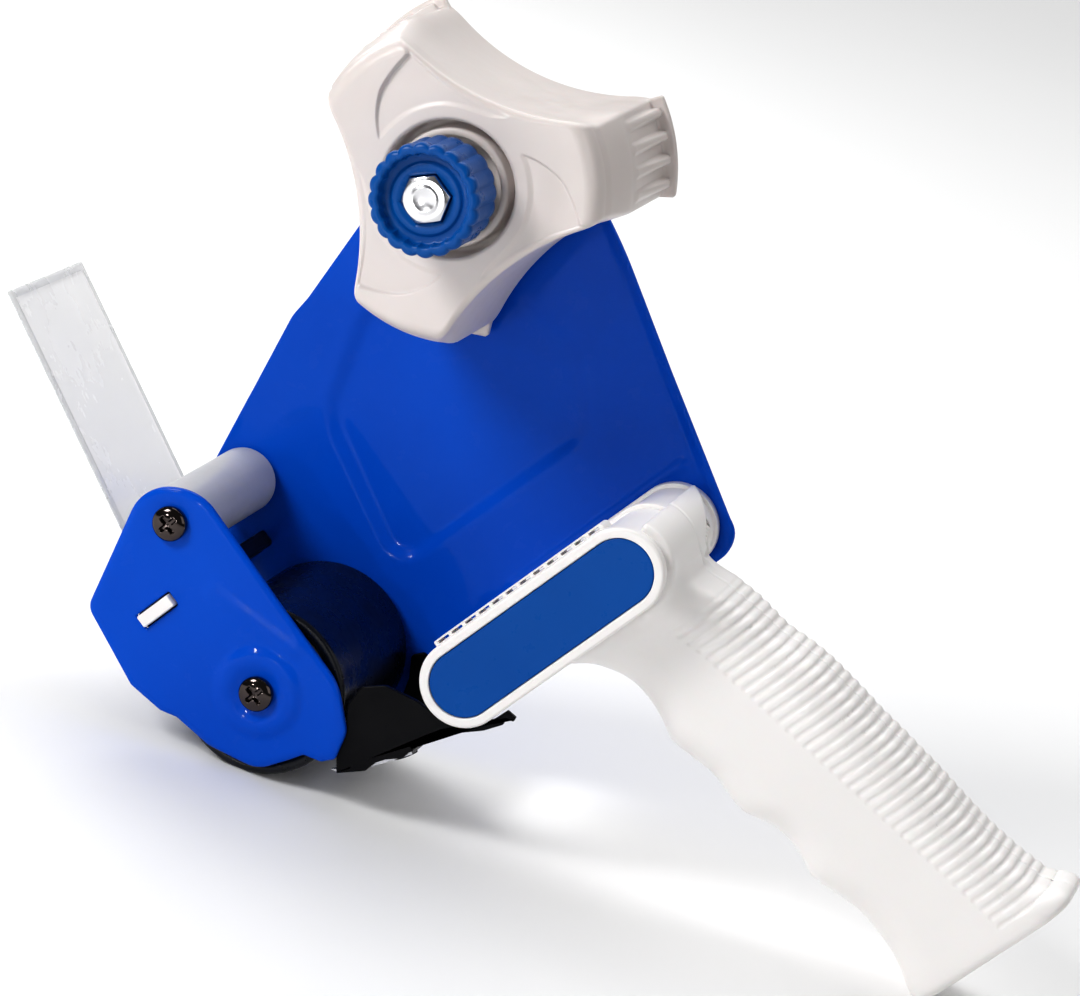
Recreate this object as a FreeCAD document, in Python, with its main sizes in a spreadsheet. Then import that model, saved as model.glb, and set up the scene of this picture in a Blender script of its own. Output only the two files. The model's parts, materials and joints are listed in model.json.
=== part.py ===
"""Tape gun dispenser for 48 mm packing tape on a 76 mm core, as a FreeCAD document.

Layout frame, in millimetres: X runs back along the head of the handle, Z runs up from the grip
towards the hub, and Y runs from the front side plate's outer face to the main side plate.  The
application roller's axle is the line X = 0, Z = 0.  Every piece is drawn in this layout, and one
placement then stands the whole tool on its roller and on the front edge of its grip, with the
origin on the floor under the middle of the tool.
"""

import FreeCAD
import Part
import Sketcher

import math
import os

V = FreeCAD.Vector

# ---------------------------------------------------------------- driving dimensions
DIMENSIONS = [
    # stand placement
    ("stand_angle", 54.15, "turn from the layout frame to the standing pose, degrees"),
    ("stand_x", -52.25, "layout origin in the row frame"),
    ("stand_y", -22.35, "layout origin in the row frame"),
    ("stand_z", 20.0, "layout origin in the row frame"),
    # side plates
    ("plate_t", 1.5, "sheet thickness of both side plates"),
    ("far_in", 50.5, "inner face of the main side plate"),
    ("flange_w", 2.0, "depth of the turned-in rear edge"),
    ("emboss", 1.0, "height of the pressed panel"),
    ("boss_h", 0.8, "height of the pressed boss round the roller screw"),
    ("boss_rad", 10.2, "radius of that boss"),
    ("slot_x", -8.3, "middle of the flap slot"),
    ("slot_z", 28.7, "middle of the flap slot"),
    ("slot_len", 10.2, "flap slot length"),
    ("slot_wide", 3.8, "flap slot width"),
    # rollers
    ("roller_rad", 20.0, "application roller"),
    ("core_rad", 17.0, "roller core under the rubber"),
    ("roller_y0", 2.5, "near end of both rollers"),
    ("roller_y1", 49.5, "far end of both rollers"),
    ("guide_x", 7.4, "guide roller axis"),
    ("guide_z", 42.8, "guide roller axis"),
    ("guide_rad", 7.9, "guide roller"),
    ("guide_wall", 1.7, "guide tube wall"),
    ("axle_rad", 3.0, "both cross axles"),
    ("running", 0.06, "radial running clearance"),
    ("tap_rad", 2.1, "tapped hole in the axle ends"),
    ("tap_deep", 11.0, "depth of those holes"),
    ("screw_rad", 2.05, "axle screw shank"),
    ("screw_len", 9.0, "axle screw length under the plate"),
    ("head_rad", 4.1, "axle screw head"),
    ("head_h", 2.8, "axle screw head"),
    # hub
    ("hub_x", 107.2, "hub axis"),
    ("hub_z", 65.3, "hub axis"),
    ("hub_y0", 2.5, "near face of the hub"),
    ("hub_y1", 48.0, "far face of the hub"),
    ("hub_nose", 35.0, "arm radius at the near face"),
    ("hub_grip", 37.9, "arm radius that carries the 76 mm core"),
    ("hub_stop", 40.9, "arm radius of the core stop"),
    ("hub_waist", 21.8, "radius of the hollows between the arms"),
    ("hub_wall", 2.2, "hub wall thickness"),
    ("recess_rad", 15.3, "knob recess in the hub"),
    ("recess_y", 11.0, "floor of that recess"),
    ("sleeve_rad", 5.0, "axle sleeve"),
    ("bolt_rad", 2.95, "tension bolt shank"),
    # knob
    ("knob_rad", 12.7, "tension knob"),
    ("knob_y0", -15.8, "near face of the knob"),
    ("knob_y1", -0.9, "far face of the knob"),
    ("bolt_flats", 10.0, "bolt head and weld nut across flats"),
    # handle
    ("head_x0", 42.4, "front end centre of the handle head"),
    ("head_x1", 88.5, "rear end centre of the handle head"),
    ("head_z", -25.4, "middle of the handle head"),
    ("ring_rad", 10.2, "flanges of the handle head"),
    ("body_rad", 9.2, "body of the handle head"),
    ("cap_rad", 7.9, "recess for the inlaid cap"),
    ("cavity_rad", 7.0, "cavity of the handle head"),
    ("ring_y0", -1.2, "near face of the handle head"),
    ("grip_mid", 26.0, "parting plane of the two handle shells"),
    ("shell_wall", 2.4, "handle shell wall"),
    # flap
    ("flap_t", 0.8, "flap sheet thickness"),
    ("flap_len", 77.5, "flap sheet length"),
    ("flap_y0", 2.9, "near edge of the flap"),
    ("flap_y1", 47.5, "far edge of the flap"),
    ("flap_lean", 11.3, "lean of the flap from Z, degrees"),
    # cutter
    ("carrier_t", 1.5, "cross member thickness"),
    ("blade_t", 0.8, "cutter blade thickness"),
    ("blade_lean", 17.1, "fall of the cross member towards the handle, degrees"),
    ("tooth_pitch", 2.5, "cutter tooth pitch"),
    ("tooth_deep", 2.0, "cutter tooth depth"),
]
TOOTH_COUNT = 18
SPRING_TURNS = 4.5
KNOB_LOBES = 20
HUB_ARM_ANGLES = (-30.0, 90.0, 210.0)

doc = FreeCAD.newDocument("TapeGun")
sheet = doc.addObject("Spreadsheet::Sheet", "Dims")
for row, (alias, value, note) in enumerate(DIMENSIONS, start=1):
    sheet.set(f"A{row}", note)
    sheet.set(f"B{row}", str(value))
    sheet.setAlias(f"B{row}", alias)
doc.recompute()

SUB_PARTS = []


def dim(alias):
    """The value of one cell of the sheet."""
    return float(sheet.get(alias))


def cell(alias, offset=0.0):
    """An expression for a cell plus an offset, or for a plain number."""
    if isinstance(alias, (int, float)):
        return str(float(alias) + offset)
    return f"Dims.{alias} + ({offset})" if offset else f"Dims.{alias}"


def number(alias, offset=0.0):
    """The number that cell(alias, offset) stands for."""
    return (dim(alias) if isinstance(alias, str) else float(alias)) + offset


# ---------------------------------------------------------------- building helpers
def stand(part, x=0.0, z=0.0, lean=0.0):
    """Places a part that is drawn about the layout point (x, z), turned clockwise by lean."""
    part.Placement = FreeCAD.Placement(V(), FreeCAD.Rotation(V(0, 1, 0), 1))
    turn = "Dims.stand_angle * 1 deg"
    part.setExpression("Placement.Rotation.Angle", f"({lean} - Dims.stand_angle) * 1 deg")
    part.setExpression("Placement.Base.x", f"Dims.stand_x + ({x}) * cos({turn}) - ({z}) * sin({turn})")
    part.setExpression("Placement.Base.y", "Dims.stand_y")
    part.setExpression("Placement.Base.z", f"Dims.stand_z + ({x}) * sin({turn}) + ({z}) * cos({turn})")


def keep(part, label, **place):
    """Labels a finished part, stands it and lists it for export."""
    part.Label = label
    stand(part, **place)
    SUB_PARTS.append(part)
    return part


def new_body(label, **place):
    name = "".join(word.capitalize() for word in label.split("_"))
    return keep(doc.addObject("PartDesign::Body", name), label, **place)


def plane_of(body, role):
    return next(f for f in body.Origin.OriginFeatures if f.Role == role)


def new_sketch(body, role="XZ_Plane", at="0"):
    """A sketch on one of the body's own planes, shifted to the coordinate `at`.

    The XZ plane faces -Y, so a shift to Y = at is -at along its normal."""
    sketch = body.newObject("Sketcher::SketchObject", f"{body.Name}Sketch")
    sketch.AttachmentSupport = [(plane_of(body, role), "")]
    sketch.MapMode = "FlatFace"
    sign = "-1 * " if role == "XZ_Plane" else ""
    sketch.setExpression("AttachmentOffset.Base.z", f"{sign}({at})")
    return sketch


def circle(sketch, x, z, radius):
    """A circle whose centre and radius are cells or numbers."""
    centre = V(number(*x) if isinstance(x, tuple) else number(x),
               number(*z) if isinstance(z, tuple) else number(z), 0)
    size = number(*radius) if isinstance(radius, tuple) else number(radius)
    index = sketch.addGeometry(Part.Circle(centre, V(0, 0, 1), size), False)
    for kind, where, value in (("DistanceX", centre.x, x), ("DistanceY", centre.y, z)):
        rule = sketch.addConstraint(Sketcher.Constraint(kind, -1, 1, index, 3, where))
        sketch.setExpression(f"Constraints[{rule}]", cell(*value) if isinstance(value, tuple) else cell(value))
    rule = sketch.addConstraint(Sketcher.Constraint("Radius", index, size))
    sketch.setExpression(f"Constraints[{rule}]", cell(*radius) if isinstance(radius, tuple) else cell(radius))


def outline(sketch, corners):
    """A closed outline.  A corner is (x, z); a third member (mx, mz) bends the next side through it."""
    for here, after in zip(corners, corners[1:] + corners[:1]):
        start, end = V(here[0], here[1], 0), V(after[0], after[1], 0)
        if len(here) == 3:
            sketch.addGeometry(Part.Arc(start, V(here[2][0], here[2][1], 0), end), False)
        else:
            sketch.addGeometry(Part.LineSegment(start, end), False)


def extrude(body, draw, y0, y1, kind="Pad"):
    """Pads or pockets what draw(sketch) draws, from Y = y0 to Y = y1."""
    low = y0 if isinstance(y0, tuple) else (y0,)
    high = y1 if isinstance(y1, tuple) else (y1,)
    sketch = new_sketch(body, at=cell(*low))
    draw(sketch)
    feature = body.newObject(f"PartDesign::{kind}", f"{body.Name}{kind}")
    feature.Profile = sketch
    feature.setExpression("Length", f"({cell(*high)}) - ({cell(*low)})")
    feature.Reversed = kind == "Pad"
    doc.recompute()
    return feature


def pocket(body, draw, y0, y1):
    before = body.Shape.Volume
    feature = extrude(body, draw, y0, y1, "Pocket")
    if body.Shape.Volume >= before - 1e-6:
        raise RuntimeError(f"{feature.Name} cuts nothing")
    return feature


def rings(x, z, *pairs):
    """A drawing of concentric rings, each pair an outer and an inner radius, inner 0 for a disc."""

    def draw(sketch):
        for outer, inner in pairs:
            circle(sketch, x, z, outer)
            if inner:
                circle(sketch, x, z, inner)

    return draw


def turned(label, x, z, steps):
    """A turned piece about an axis along Y: steps of (y0, y1, outer radius, inner radius)."""
    body = new_body(label)
    for y0, y1, outer, inner in steps:
        extrude(body, rings(x, z, (outer, inner)), y0, y1)
    return body


def stadium(x0, x1, z, radius, grow=0.0):
    """A slot-shaped outline between two end centres."""
    r = number(radius) + grow
    left, right, mid = number(x0), number(x1), number(z)
    return [
        (left, mid + r),
        (right, mid + r, (right + r, mid)),
        (right, mid - r),
        (left, mid - r, (left - r, mid)),
    ]


def polar(x, z, radius, degrees):
    a = math.radians(degrees)
    return x + radius * math.cos(a), z + radius * math.sin(a)


# ---------------------------------------------------------------- side plates
def roller_arc(z_sign=1):
    """The lower front of both plates, which follows the roller inside its rim."""
    return [(0.0, -17.4, (-12.5, -12.2)), (-17.3, -2.8), (-19.8, 2.2), (-20.5, 6.5)]


def front_nose():
    """The front of both plates, from the roller up to the front corner."""
    return [(-22.7, 10.0), (-24.9, 18.6), (-22.1, 38.8)]


def main_plate():
    """Large side plate: hub seat at the top, roller seats in front, handle head at the bottom."""
    body = new_body("main_side_plate")
    hx, hz, seat = dim("hub_x"), dim("hub_z"), 18.5
    top, rear = polar(hx, hz, seat, 105.0), polar(hx, hz, seat, -15.4)
    end_x, end_z, end_r = dim("head_x1"), dim("head_z"), 12.4
    corner, low = polar(end_x, end_z, end_r, -15.4), (end_x, end_z - end_r)
    edge = (
        roller_arc()
        + front_nose()
        + [(0.0, 50.0), (41.0, 67.3), (45.5, 68.3)]
        + [(*top, polar(hx, hz, seat, 45.0))]
        + [rear]
        + [(*corner, polar(end_x, end_z, end_r, -52.0))]
        + [low, (44.0, low[1]), (10.0, -27.5)]
    )
    extrude(body, lambda s: outline(s, edge), "far_in", ("far_in", dim("plate_t")))
    flange_in = [
        polar(hx, hz, seat - 1.5, -15.4),
        (*polar(end_x, end_z, end_r - 1.5, -15.4), polar(end_x, end_z, end_r - 1.5, -52.0)),
        (end_x, low[1] + 1.5),
        low,
    ]
    strip = (
        [rear, flange_in[0], flange_in[1], flange_in[2]]
        + [(*low, polar(end_x, end_z, end_r, -52.0))]
        + [corner]
    )
    extrude(body, lambda s: outline(s, strip), ("far_in", -dim("flange_w")), "far_in")
    panel = [
        (34.0, 4.0),
        (76.0, 4.0, (88.5, 9.5)),
        (93.2, 22.0, (90.5, 38.0)),
        (81.0, 50.0, (68.0, 56.0)),
        (52.0, 53.0, (42.0, 47.0)),
        (35.0, 36.0),
        (26.6, 15.0, (28.0, 7.0)),
    ]
    back = dim("far_in") + dim("plate_t")
    extrude(body, lambda s: outline(s, panel), back, back + dim("emboss"))
    pocket(body, lambda s: outline(s, panel), ("far_in", -1.0), ("far_in", dim("emboss")))

    def holes(sketch):
        circle(sketch, 0, 0, ("screw_rad", 0.15))
        circle(sketch, "guide_x", "guide_z", ("screw_rad", 0.15))
        circle(sketch, "hub_x", "hub_z", 3.2)
        circle(sketch, "head_x0", "head_z", ("screw_rad", 0.15))
        circle(sketch, "head_x1", "head_z", ("screw_rad", 0.15))
        outline(sketch, flap_slot())

    pocket(body, holes, ("far_in", -1.0), ("far_in", 5.0))


def flap_slot(shrink=0.0):
    half_l, half_w = dim("slot_len") / 2 - shrink, dim("slot_wide") / 2 - shrink
    x, z = dim("slot_x"), dim("slot_z")
    return [(x - half_l, z - half_w), (x + half_l, z - half_w), (x + half_l, z + half_w), (x - half_l, z + half_w)]


def front_plate():
    """Small side plate on the near side, which carries the two axles, the flap and the cutter."""
    body = new_body("front_side_plate")
    gx, gz, nose = dim("guide_x"), dim("guide_z"), 10.7
    right = 17.2
    side = math.degrees(math.acos((right - gx) / nose))
    edge = (
        roller_arc()
        + front_nose()
        + [(*polar(gx, gz, nose, 117.0), polar(gx, gz, nose, 72.0))]
        + [polar(gx, gz, nose, side), (right, -8.5, (15.6, -15.2)), (11.8, -19.2), (5.5, -22.5), (2.6, -21.4)]
    )
    extrude(body, lambda s: outline(s, edge), 0, "plate_t")
    extrude(body, rings(0, 0, ("boss_rad", 0)), (0, -dim("boss_h")), 0)
    pocket(body, rings(0, 0, (("boss_rad", -1.5), 0)), 0.7, 3)

    def holes(sketch):
        circle(sketch, 0, 0, ("screw_rad", 0.15))
        circle(sketch, "guide_x", "guide_z", ("screw_rad", 0.15))
        outline(sketch, flap_slot())

    pocket(body, holes, -2, 4)


# ---------------------------------------------------------------- rollers, axles and their screws
def axle(label, x, z, near):
    """A steel cross axle between the plates, tapped at both ends."""
    body = turned(label, x, z, [(near, "far_in", "axle_rad", 0)])
    deep = dim("tap_deep")
    pocket(body, rings(x, z, ("tap_rad", 0)), (near, -1.0), (near, deep))
    pocket(body, rings(x, z, ("tap_rad", 0)), ("far_in", -deep), ("far_in", 1.0))


def cross_recess(body, x, z, y0, y1):
    """The cruciform driver recess of a screw head."""
    cx, cz, arm, half = number(x), number(z), 2.2, 0.45
    bar = [(cx - arm, cz - half), (cx + arm, cz - half), (cx + arm, cz + half), (cx - arm, cz + half)]
    post = [(cx - half, cz - arm), (cx + half, cz - arm), (cx + half, cz + arm), (cx - half, cz + arm)]
    for shape in (bar, post):
        pocket(body, lambda s, shape=shape: outline(s, shape), y0, y1)


def dome(body, y_out):
    """Rounds the outer rim of a screw head that lies at Y = y_out in the body's frame."""
    rims = [
        f"Edge{n}"
        for n, e in enumerate(body.Tip.Shape.Edges, start=1)
        if isinstance(e.Curve, Part.Circle)
        and abs(e.Curve.Radius - dim("head_rad")) < 1e-6
        and abs(e.Vertexes[0].Point.y - y_out) < 1e-6
    ]
    head = body.Tip
    fillet = body.newObject("PartDesign::Fillet", f"{body.Name}Fillet")
    fillet.Base = (head, rims)
    fillet.setExpression("Radius", "Dims.head_h * 0.75")
    doc.recompute()


def plate_screw(label, x, z, face, far):
    """A round head screw against a plate face; far is True on the main plate's outside."""
    body = new_body(label)
    sign = 1 if far else -1
    out, shank = face + sign * dim("head_h"), face - sign * dim("screw_len")
    extrude(body, rings(x, z, ("head_rad", 0)), min(face, out), max(face, out))
    extrude(body, rings(x, z, ("screw_rad", 0)), min(face, shank), max(face, shank))
    dome(body, out)
    ends = sorted((out + sign * 0.5, out - sign * 1.3))
    cross_recess(body, x, z, *ends)


def application_roller():
    run = dim("running")
    y0, y1 = "roller_y0", "roller_y1"
    turned("roller_tyre", 0, 0, [(y0, y1, "roller_rad", "core_rad")])
    body = new_body("roller_core")
    bore = ("axle_rad", run)
    extrude(body, rings(0, 0, ("core_rad", bore)), y0, (y0, 2.5))
    extrude(body, rings(0, 0, ("core_rad", ("core_rad", -2.5)), (6.0, bore)), (y0, 2.5), (y1, -2.5))
    extrude(body, rings(0, 0, ("core_rad", bore)), (y1, -2.5), y1)

    def lightening(sketch):
        for k in range(6):
            circle(sketch, *polar(0, 0, 10.3, 60 * k), 3.2)

    pocket(body, lightening, 0, 60)


def guide_roller():
    x, z, y0, y1 = "guide_x", "guide_z", "roller_y0", "roller_y1"
    inner = ("guide_rad", -dim("guide_wall"))
    turned("guide_tube", x, z, [(y0, y1, "guide_rad", inner)])
    bore = ("axle_rad", dim("running"))
    turned("guide_bush_near", x, z, [(y0, (y0, 5.0), inner, bore)])
    turned("guide_bush_far", x, z, [((y1, -5.0), y1, inner, bore)])


# ---------------------------------------------------------------- hub and tension adjuster
def hub_outline(tip, waist, half=18.0):
    """Three arms with round corners, joined by hollow curves; half is half an arm's angle."""
    cx, cz = dim("hub_x"), dim("hub_z")
    corners = []
    for arm in HUB_ARM_ANGLES:
        corners.append((*polar(cx, cz, tip * 0.935, arm - half), polar(cx, cz, tip * 0.986, arm - half * 0.9)))
        corners.append((*polar(cx, cz, tip, arm - half * 0.72), polar(cx, cz, tip, arm)))
        corners.append((*polar(cx, cz, tip, arm + half * 0.72), polar(cx, cz, tip * 0.986, arm + half * 0.9)))
        corners.append((*polar(cx, cz, tip * 0.935, arm + half), polar(cx, cz, waist, arm + 60)))
    return corners


def hub():
    """The three-armed tape hub: a closed near face, hollow from the far side."""
    body = new_body("tape_hub")
    wall, y0, y1 = dim("hub_wall"), dim("hub_y0"), dim("hub_y1")
    lead_in = y0 + 14.0
    nose, waist = dim("hub_nose"), dim("hub_waist")
    first = new_sketch(body, at=cell("hub_y0"))
    outline(first, hub_outline(nose, waist, 19.0))
    second = new_sketch(body, at=cell("hub_y0", 14.0))
    outline(second, hub_outline(dim("hub_grip"), waist))
    loft = body.newObject("PartDesign::AdditiveLoft", "HubLeadIn")
    loft.Profile = first
    loft.Sections = [second]
    loft.Ruled = True
    doc.recompute()
    extrude(body, lambda s: outline(s, hub_outline(dim("hub_grip"), waist)), lead_in, y1)

    def stops(sketch):
        cx, cz = dim("hub_x"), dim("hub_z")
        low, high, side = dim("hub_grip") - 2.0, dim("hub_stop"), 16.8
        for arm in HUB_ARM_ANGLES:
            outline(sketch, [
                polar(cx, cz, low, arm - side),
                (*polar(cx, cz, high, arm - side), polar(cx, cz, high, arm)),
                polar(cx, cz, high, arm + side),
                (*polar(cx, cz, low, arm + side), polar(cx, cz, low, arm)),
            ])

    extrude(body, stops, y1 - 2.2, y1)

    def cavities(sketch):
        outline(sketch, hub_outline(dim("hub_grip") - 2 * wall, waist - wall, 15.0))
        circle(sketch, "hub_x", "hub_z", ("recess_rad", 2.0))

    pocket(body, cavities, y0 + 3.2, y1 + 1)
    pocket(body, rings("hub_x", "hub_z", ("recess_rad", 9.0)), ("recess_y", 2.5), y1 + 1)

    def webs(sketch):
        cx, cz = dim("hub_x"), dim("hub_z")
        for arm in HUB_ARM_ANGLES:
            ends = [polar(cx, cz, r, arm) for r in (dim("recess_rad") + 1.0, dim("hub_grip") - 2.0)]
            dx, dz = polar(0, 0, 1.0, arm + 90)
            (ax, az), (bx, bz) = ends
            outline(sketch, [(ax - dx, az - dz), (bx - dx, bz - dz), (bx + dx, bz + dz), (ax + dx, az + dz)])

    extrude(body, webs, y0 + 3.0, y1 - 2.0)
    pocket(body, rings("hub_x", "hub_z", ("recess_rad", 0)), y0 - 1, "recess_y")
    extrude(body, rings("hub_x", "hub_z", (13.4, 11.6)), y0 + 2.0, "recess_y")
    pocket(body, rings("hub_x", "hub_z", (("sleeve_rad", dim("running")), 0)), y0, y1 + 1)


def hexagon(x, z, flats, turn=0.0):
    return [polar(x, z, flats / math.sqrt(3), turn + 60 * k) for k in range(6)]


def tension_adjuster():
    """Hub sleeve, brake disc and thrust washers, spring, bolt, knob and weld nut, all on the hub axis."""
    x, z = "hub_x", "hub_z"
    far = dim("far_in")
    turned("hub_sleeve", x, z, [(11.5, far - 1.0, "sleeve_rad", 3.1), (far - 1.0, far, 9.0, 3.1)])
    turned("brake_disc", x, z, [(("hub_y1", 0.1), far - 1.0, 12.0, ("sleeve_rad", 0.1))])
    turned("thrust_washer", x, z, [(10.0, 11.0, 8.0, 3.2)])
    turned("tension_washer", x, z, [(-0.85, 0.35, 8.0, 3.2)])

    wire, coil, low, high = 0.7, 5.6, 0.4, 9.85
    spine = doc.addObject("Part::Helix", "SpringPath")
    spine.Radius = coil
    spine.Height = high - low - 2 * wire
    spine.Pitch = spine.Height.Value / SPRING_TURNS
    start = V(dim("hub_x"), low + wire, dim("hub_z"))
    spine.Placement = FreeCAD.Placement(start, FreeCAD.Rotation(V(1, 0, 0), -90))
    section = doc.addObject("Part::Circle", "SpringWire")
    section.Radius = wire
    section.Placement = FreeCAD.Placement(start + V(coil, 0, 0), FreeCAD.Rotation())
    spring = doc.addObject("Part::Sweep", "TensionSpring")
    spring.Sections = [section]
    spring.Spine = (spine, ["Edge1"])
    spring.Solid = True
    spring.Frenet = True
    keep(spring, "tension_spring")

    bolt = new_body("tension_bolt")
    seat = dim("knob_y0") + 5.3
    cx, cz = dim("hub_x"), dim("hub_z")
    extrude(bolt, lambda s: outline(s, hexagon(cx, cz, dim("bolt_flats"))), seat - 4.0, seat)
    extrude(bolt, rings(x, z, ("bolt_rad", 0)), seat, 60.5)

    knob = new_body("tension_knob")
    y0, y1 = dim("knob_y0"), dim("knob_y1")
    lobes = []
    for k in range(KNOB_LOBES):
        step = 360.0 / KNOB_LOBES
        valley, crest = polar(cx, cz, dim("knob_rad") - 0.8, step * k), polar(cx, cz, dim("knob_rad"), step * (k + 0.5))
        lobes.append((*valley, crest))
    extrude(knob, lambda s: outline(s, lobes), y0, y1)
    pocket(knob, rings(x, z, (("knob_rad", -2.3), 0)), y0 - 1, y0 + 3.2)
    pocket(knob, lambda s: outline(s, hexagon(cx, cz, dim("bolt_flats") + 0.5)), y0, y0 + 5.3)
    pocket(knob, rings(x, z, (("bolt_rad", 0.1), 0)), y0, y1 + 1)
    pocket(knob, rings(x, z, (("knob_rad", -2.3), 6.2)), y1 - 6.0, y1 + 1)

    nut = new_body("weld_nut")
    back = far + dim("plate_t")
    extrude(nut, lambda s: outline(s, hexagon(cx, cz, dim("bolt_flats"), 30.0)), back, back + 5.0)
    pocket(nut, rings(x, z, (("bolt_rad", 0.06), 0)), back - 1, back + 6)


# ---------------------------------------------------------------- flap and cutter
def flap():
    """Base bar whose lugs sit in the plate slots, and the springy sheet that stands on it."""
    bar = new_body("flap_base_bar")
    x, z = dim("slot_x"), dim("slot_z")
    back = dim("far_in") + dim("plate_t")
    extrude(bar, lambda s: outline(s, flap_slot(0.4)), -1.2, back + 1.2)
    ahead, behind, tall = 5.6, 11.9, 2.0
    block = [(x - ahead, z - tall), (x + behind, z - tall), (x + behind, z + tall), (x - ahead, z + tall)]
    extrude(bar, lambda s: outline(s, block), 1.8, dim("far_in") - 0.3)

    root_z = z + tall + 0.75
    leaf = new_body("flap_sheet", x=x, z=root_z, lean=dim("flap_lean"))
    half, long = dim("flap_t") / 2, dim("flap_len")
    extrude(leaf, lambda s: outline(s, [(-half, 0), (half, 0), (half, long), (-half, long)]), "flap_y0", "flap_y1")


CARRIER_X, CARRIER_Z = 7.0, -26.0


def cutter():
    """Cross member between the plates and the toothed blade under it, drawn flat, then leaned."""
    lean = {"x": CARRIER_X, "z": CARRIER_Z, "lean": dim("blade_lean")}
    thick, far = dim("carrier_t"), dim("far_in")
    half, inside = thick / 2, dim("plate_t")
    depth = 16.0
    web = [(0.0, half), (0.0, -half), (depth, -half), (depth, half)]
    member = new_body("cross_member", **lean)
    extrude(member, lambda s: outline(s, web), inside, far)
    front_edge = [(8.0, 13.5), (4.8, 13.8), (2.2, 8.6), (-1.8, 4.2)]
    far_ear = [(0.0, 0.0), (10.5, 0.0), (10.5, 8.0)] + front_edge
    stepped_foot = [(-3.6, -0.5), (3.3, -1.9), (7.3, -0.4), (12.9, -1.6), (20.8, 1.8), (24.6, 2.0), (28.0, 0.2)]
    hook = [(33.7, -0.9), (38.6, -0.9), (39.6, 0.3), (41.2, -0.9), (42.0, -0.2), (40.7, 1.9)]
    under_head = [(37.2, 0.95), (33.7, 0.4), (30.0, 1.0), (26.5, 3.2), (24.6, 5.0), (20.0, 8.5), (12.0, 11.0)]
    near_ear = stepped_foot + hook + under_head + front_edge
    extrude(member, lambda s: outline(s, near_ear), inside, inside + thick)
    extrude(member, lambda s: outline(s, far_ear), far - thick, far)

    top = -half - 0.02
    low = top - dim("blade_t")
    start, end = inside + thick + 0.1, far - 0.6
    blade = new_body("cutter_blade", **lean)
    strip = [(-0.2, top), (-5.2, top + 1.4), (-5.2, low + 1.4), (-0.2, low), (15.0, low), (15.0, top)]
    extrude(blade, lambda s: outline(s, strip), start, end)

    def notch(sketch):
        first, pitch = start + 0.9, dim("tooth_pitch")
        outline(sketch, [(-6.0, first), (-5.2 + dim("tooth_deep"), first + pitch / 2), (-6.0, first + pitch)])

    sketch = new_sketch(blade, "XY_Plane", "-5")
    notch(sketch)
    cut = blade.newObject("PartDesign::Pocket", "ToothGap")
    cut.Profile = sketch
    cut.Length = 10
    cut.Midplane = True
    doc.recompute()
    pattern = blade.newObject("PartDesign::LinearPattern", "Teeth")
    pattern.Originals = [cut]
    pattern.Direction = (plane_of(blade, "Y_Axis"), [""])
    pattern.setExpression("Length", f"Dims.tooth_pitch * {TOOTH_COUNT - 1}")
    pattern.Occurrences = TOOTH_COUNT
    blade.Tip = pattern
    doc.recompute()

    seats = (14.0, 38.0)
    for body in (member, blade):
        sketch = new_sketch(body, "XY_Plane", "5")
        for y in seats:
            circle(sketch, 9.0, y, 1.6)
        hole = body.newObject("PartDesign::Pocket", f"{body.Name}Holes")
        hole.Profile = sketch
        hole.Length = 10
        doc.recompute()
    screws = new_body("blade_screws", **lean)
    sketch = new_sketch(screws, "XY_Plane", str(low - 1.6))
    for y in seats:
        circle(sketch, 9.0, y, 2.9)
    heads = screws.newObject("PartDesign::Pad", "BladeScrewHeads")
    heads.Profile = sketch
    heads.Length = 1.6
    sketch = new_sketch(screws, "XY_Plane", str(low))
    for y in seats:
        circle(sketch, 9.0, y, 1.5)
    shanks = screws.newObject("PartDesign::Pad", "BladeScrewShanks")
    shanks.Profile = sketch
    shanks.Length = 4.2
    doc.recompute()


# ---------------------------------------------------------------- handle
# Stations down the grip: height, front edge, back edge, half width across, corner roundness.
GRIP_STATIONS = [
    (-36.0, 64.0, 98.4, 21.2, 0.30),
    (-40.5, 66.4, 98.6, 19.8, 0.45),
    (-46.0, 68.2, 99.6, 16.8, 0.60),
    (-53.0, 68.9, 101.6, 14.6, 0.75),
    (-63.6, 67.3, 104.6, 14.0, 0.85),
    (-78.0, 70.8, 107.9, 13.9, 0.85),
    (-85.0, 70.9, 108.9, 13.9, 0.85),
    (-98.0, 76.2, 110.9, 13.8, 0.85),
    (-107.0, 75.3, 112.4, 13.8, 0.85),
    (-125.0, 80.4, 115.2, 13.9, 0.80),
    (-134.0, 79.8, 117.8, 14.3, 0.75),
    (-140.5, 78.3, 121.4, 14.8, 0.72),
    (-142.8, 78.6, 122.0, 14.6, 0.72),
    (-144.4, 80.6, 120.6, 12.9, 0.72),
]
SHELL_SCREWS = [(86.0, -60.0), (93.0, -95.0), (98.5, -128.0)]


def grip_section(front, back, half, roundness, inset):
    """A rounded rectangle in X and Y about the grip's parting plane."""
    x0, x1, w = front + inset, back - inset, half - inset
    r = roundness * w
    mid, c = dim("grip_mid"), 1 - math.sqrt(0.5)
    y0, y1 = mid - w, mid + w
    return [
        (x0 + r, y0), (x1 - r, y0, (x1 - c * r, y0 + c * r)),
        (x1, y0 + r), (x1, y1 - r, (x1 - c * r, y1 - c * r)),
        (x1 - r, y1), (x0 + r, y1, (x0 + c * r, y1 - c * r)),
        (x0, y1 - r), (x0, y0 + r, (x0 + c * r, y0 + c * r)),
    ]


def grip_loft(body, kind, stations, inset):
    sketches = []
    for height, front, back, half, roundness in stations:
        sketch = new_sketch(body, "XY_Plane", str(height))
        outline(sketch, grip_section(front, back, half, roundness, inset))
        sketches.append(sketch)
    loft = body.newObject(f"PartDesign::{kind}", f"{body.Name}{kind}")
    loft.Profile = sketches[0]
    loft.Sections = sketches[1:]
    doc.recompute()


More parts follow.
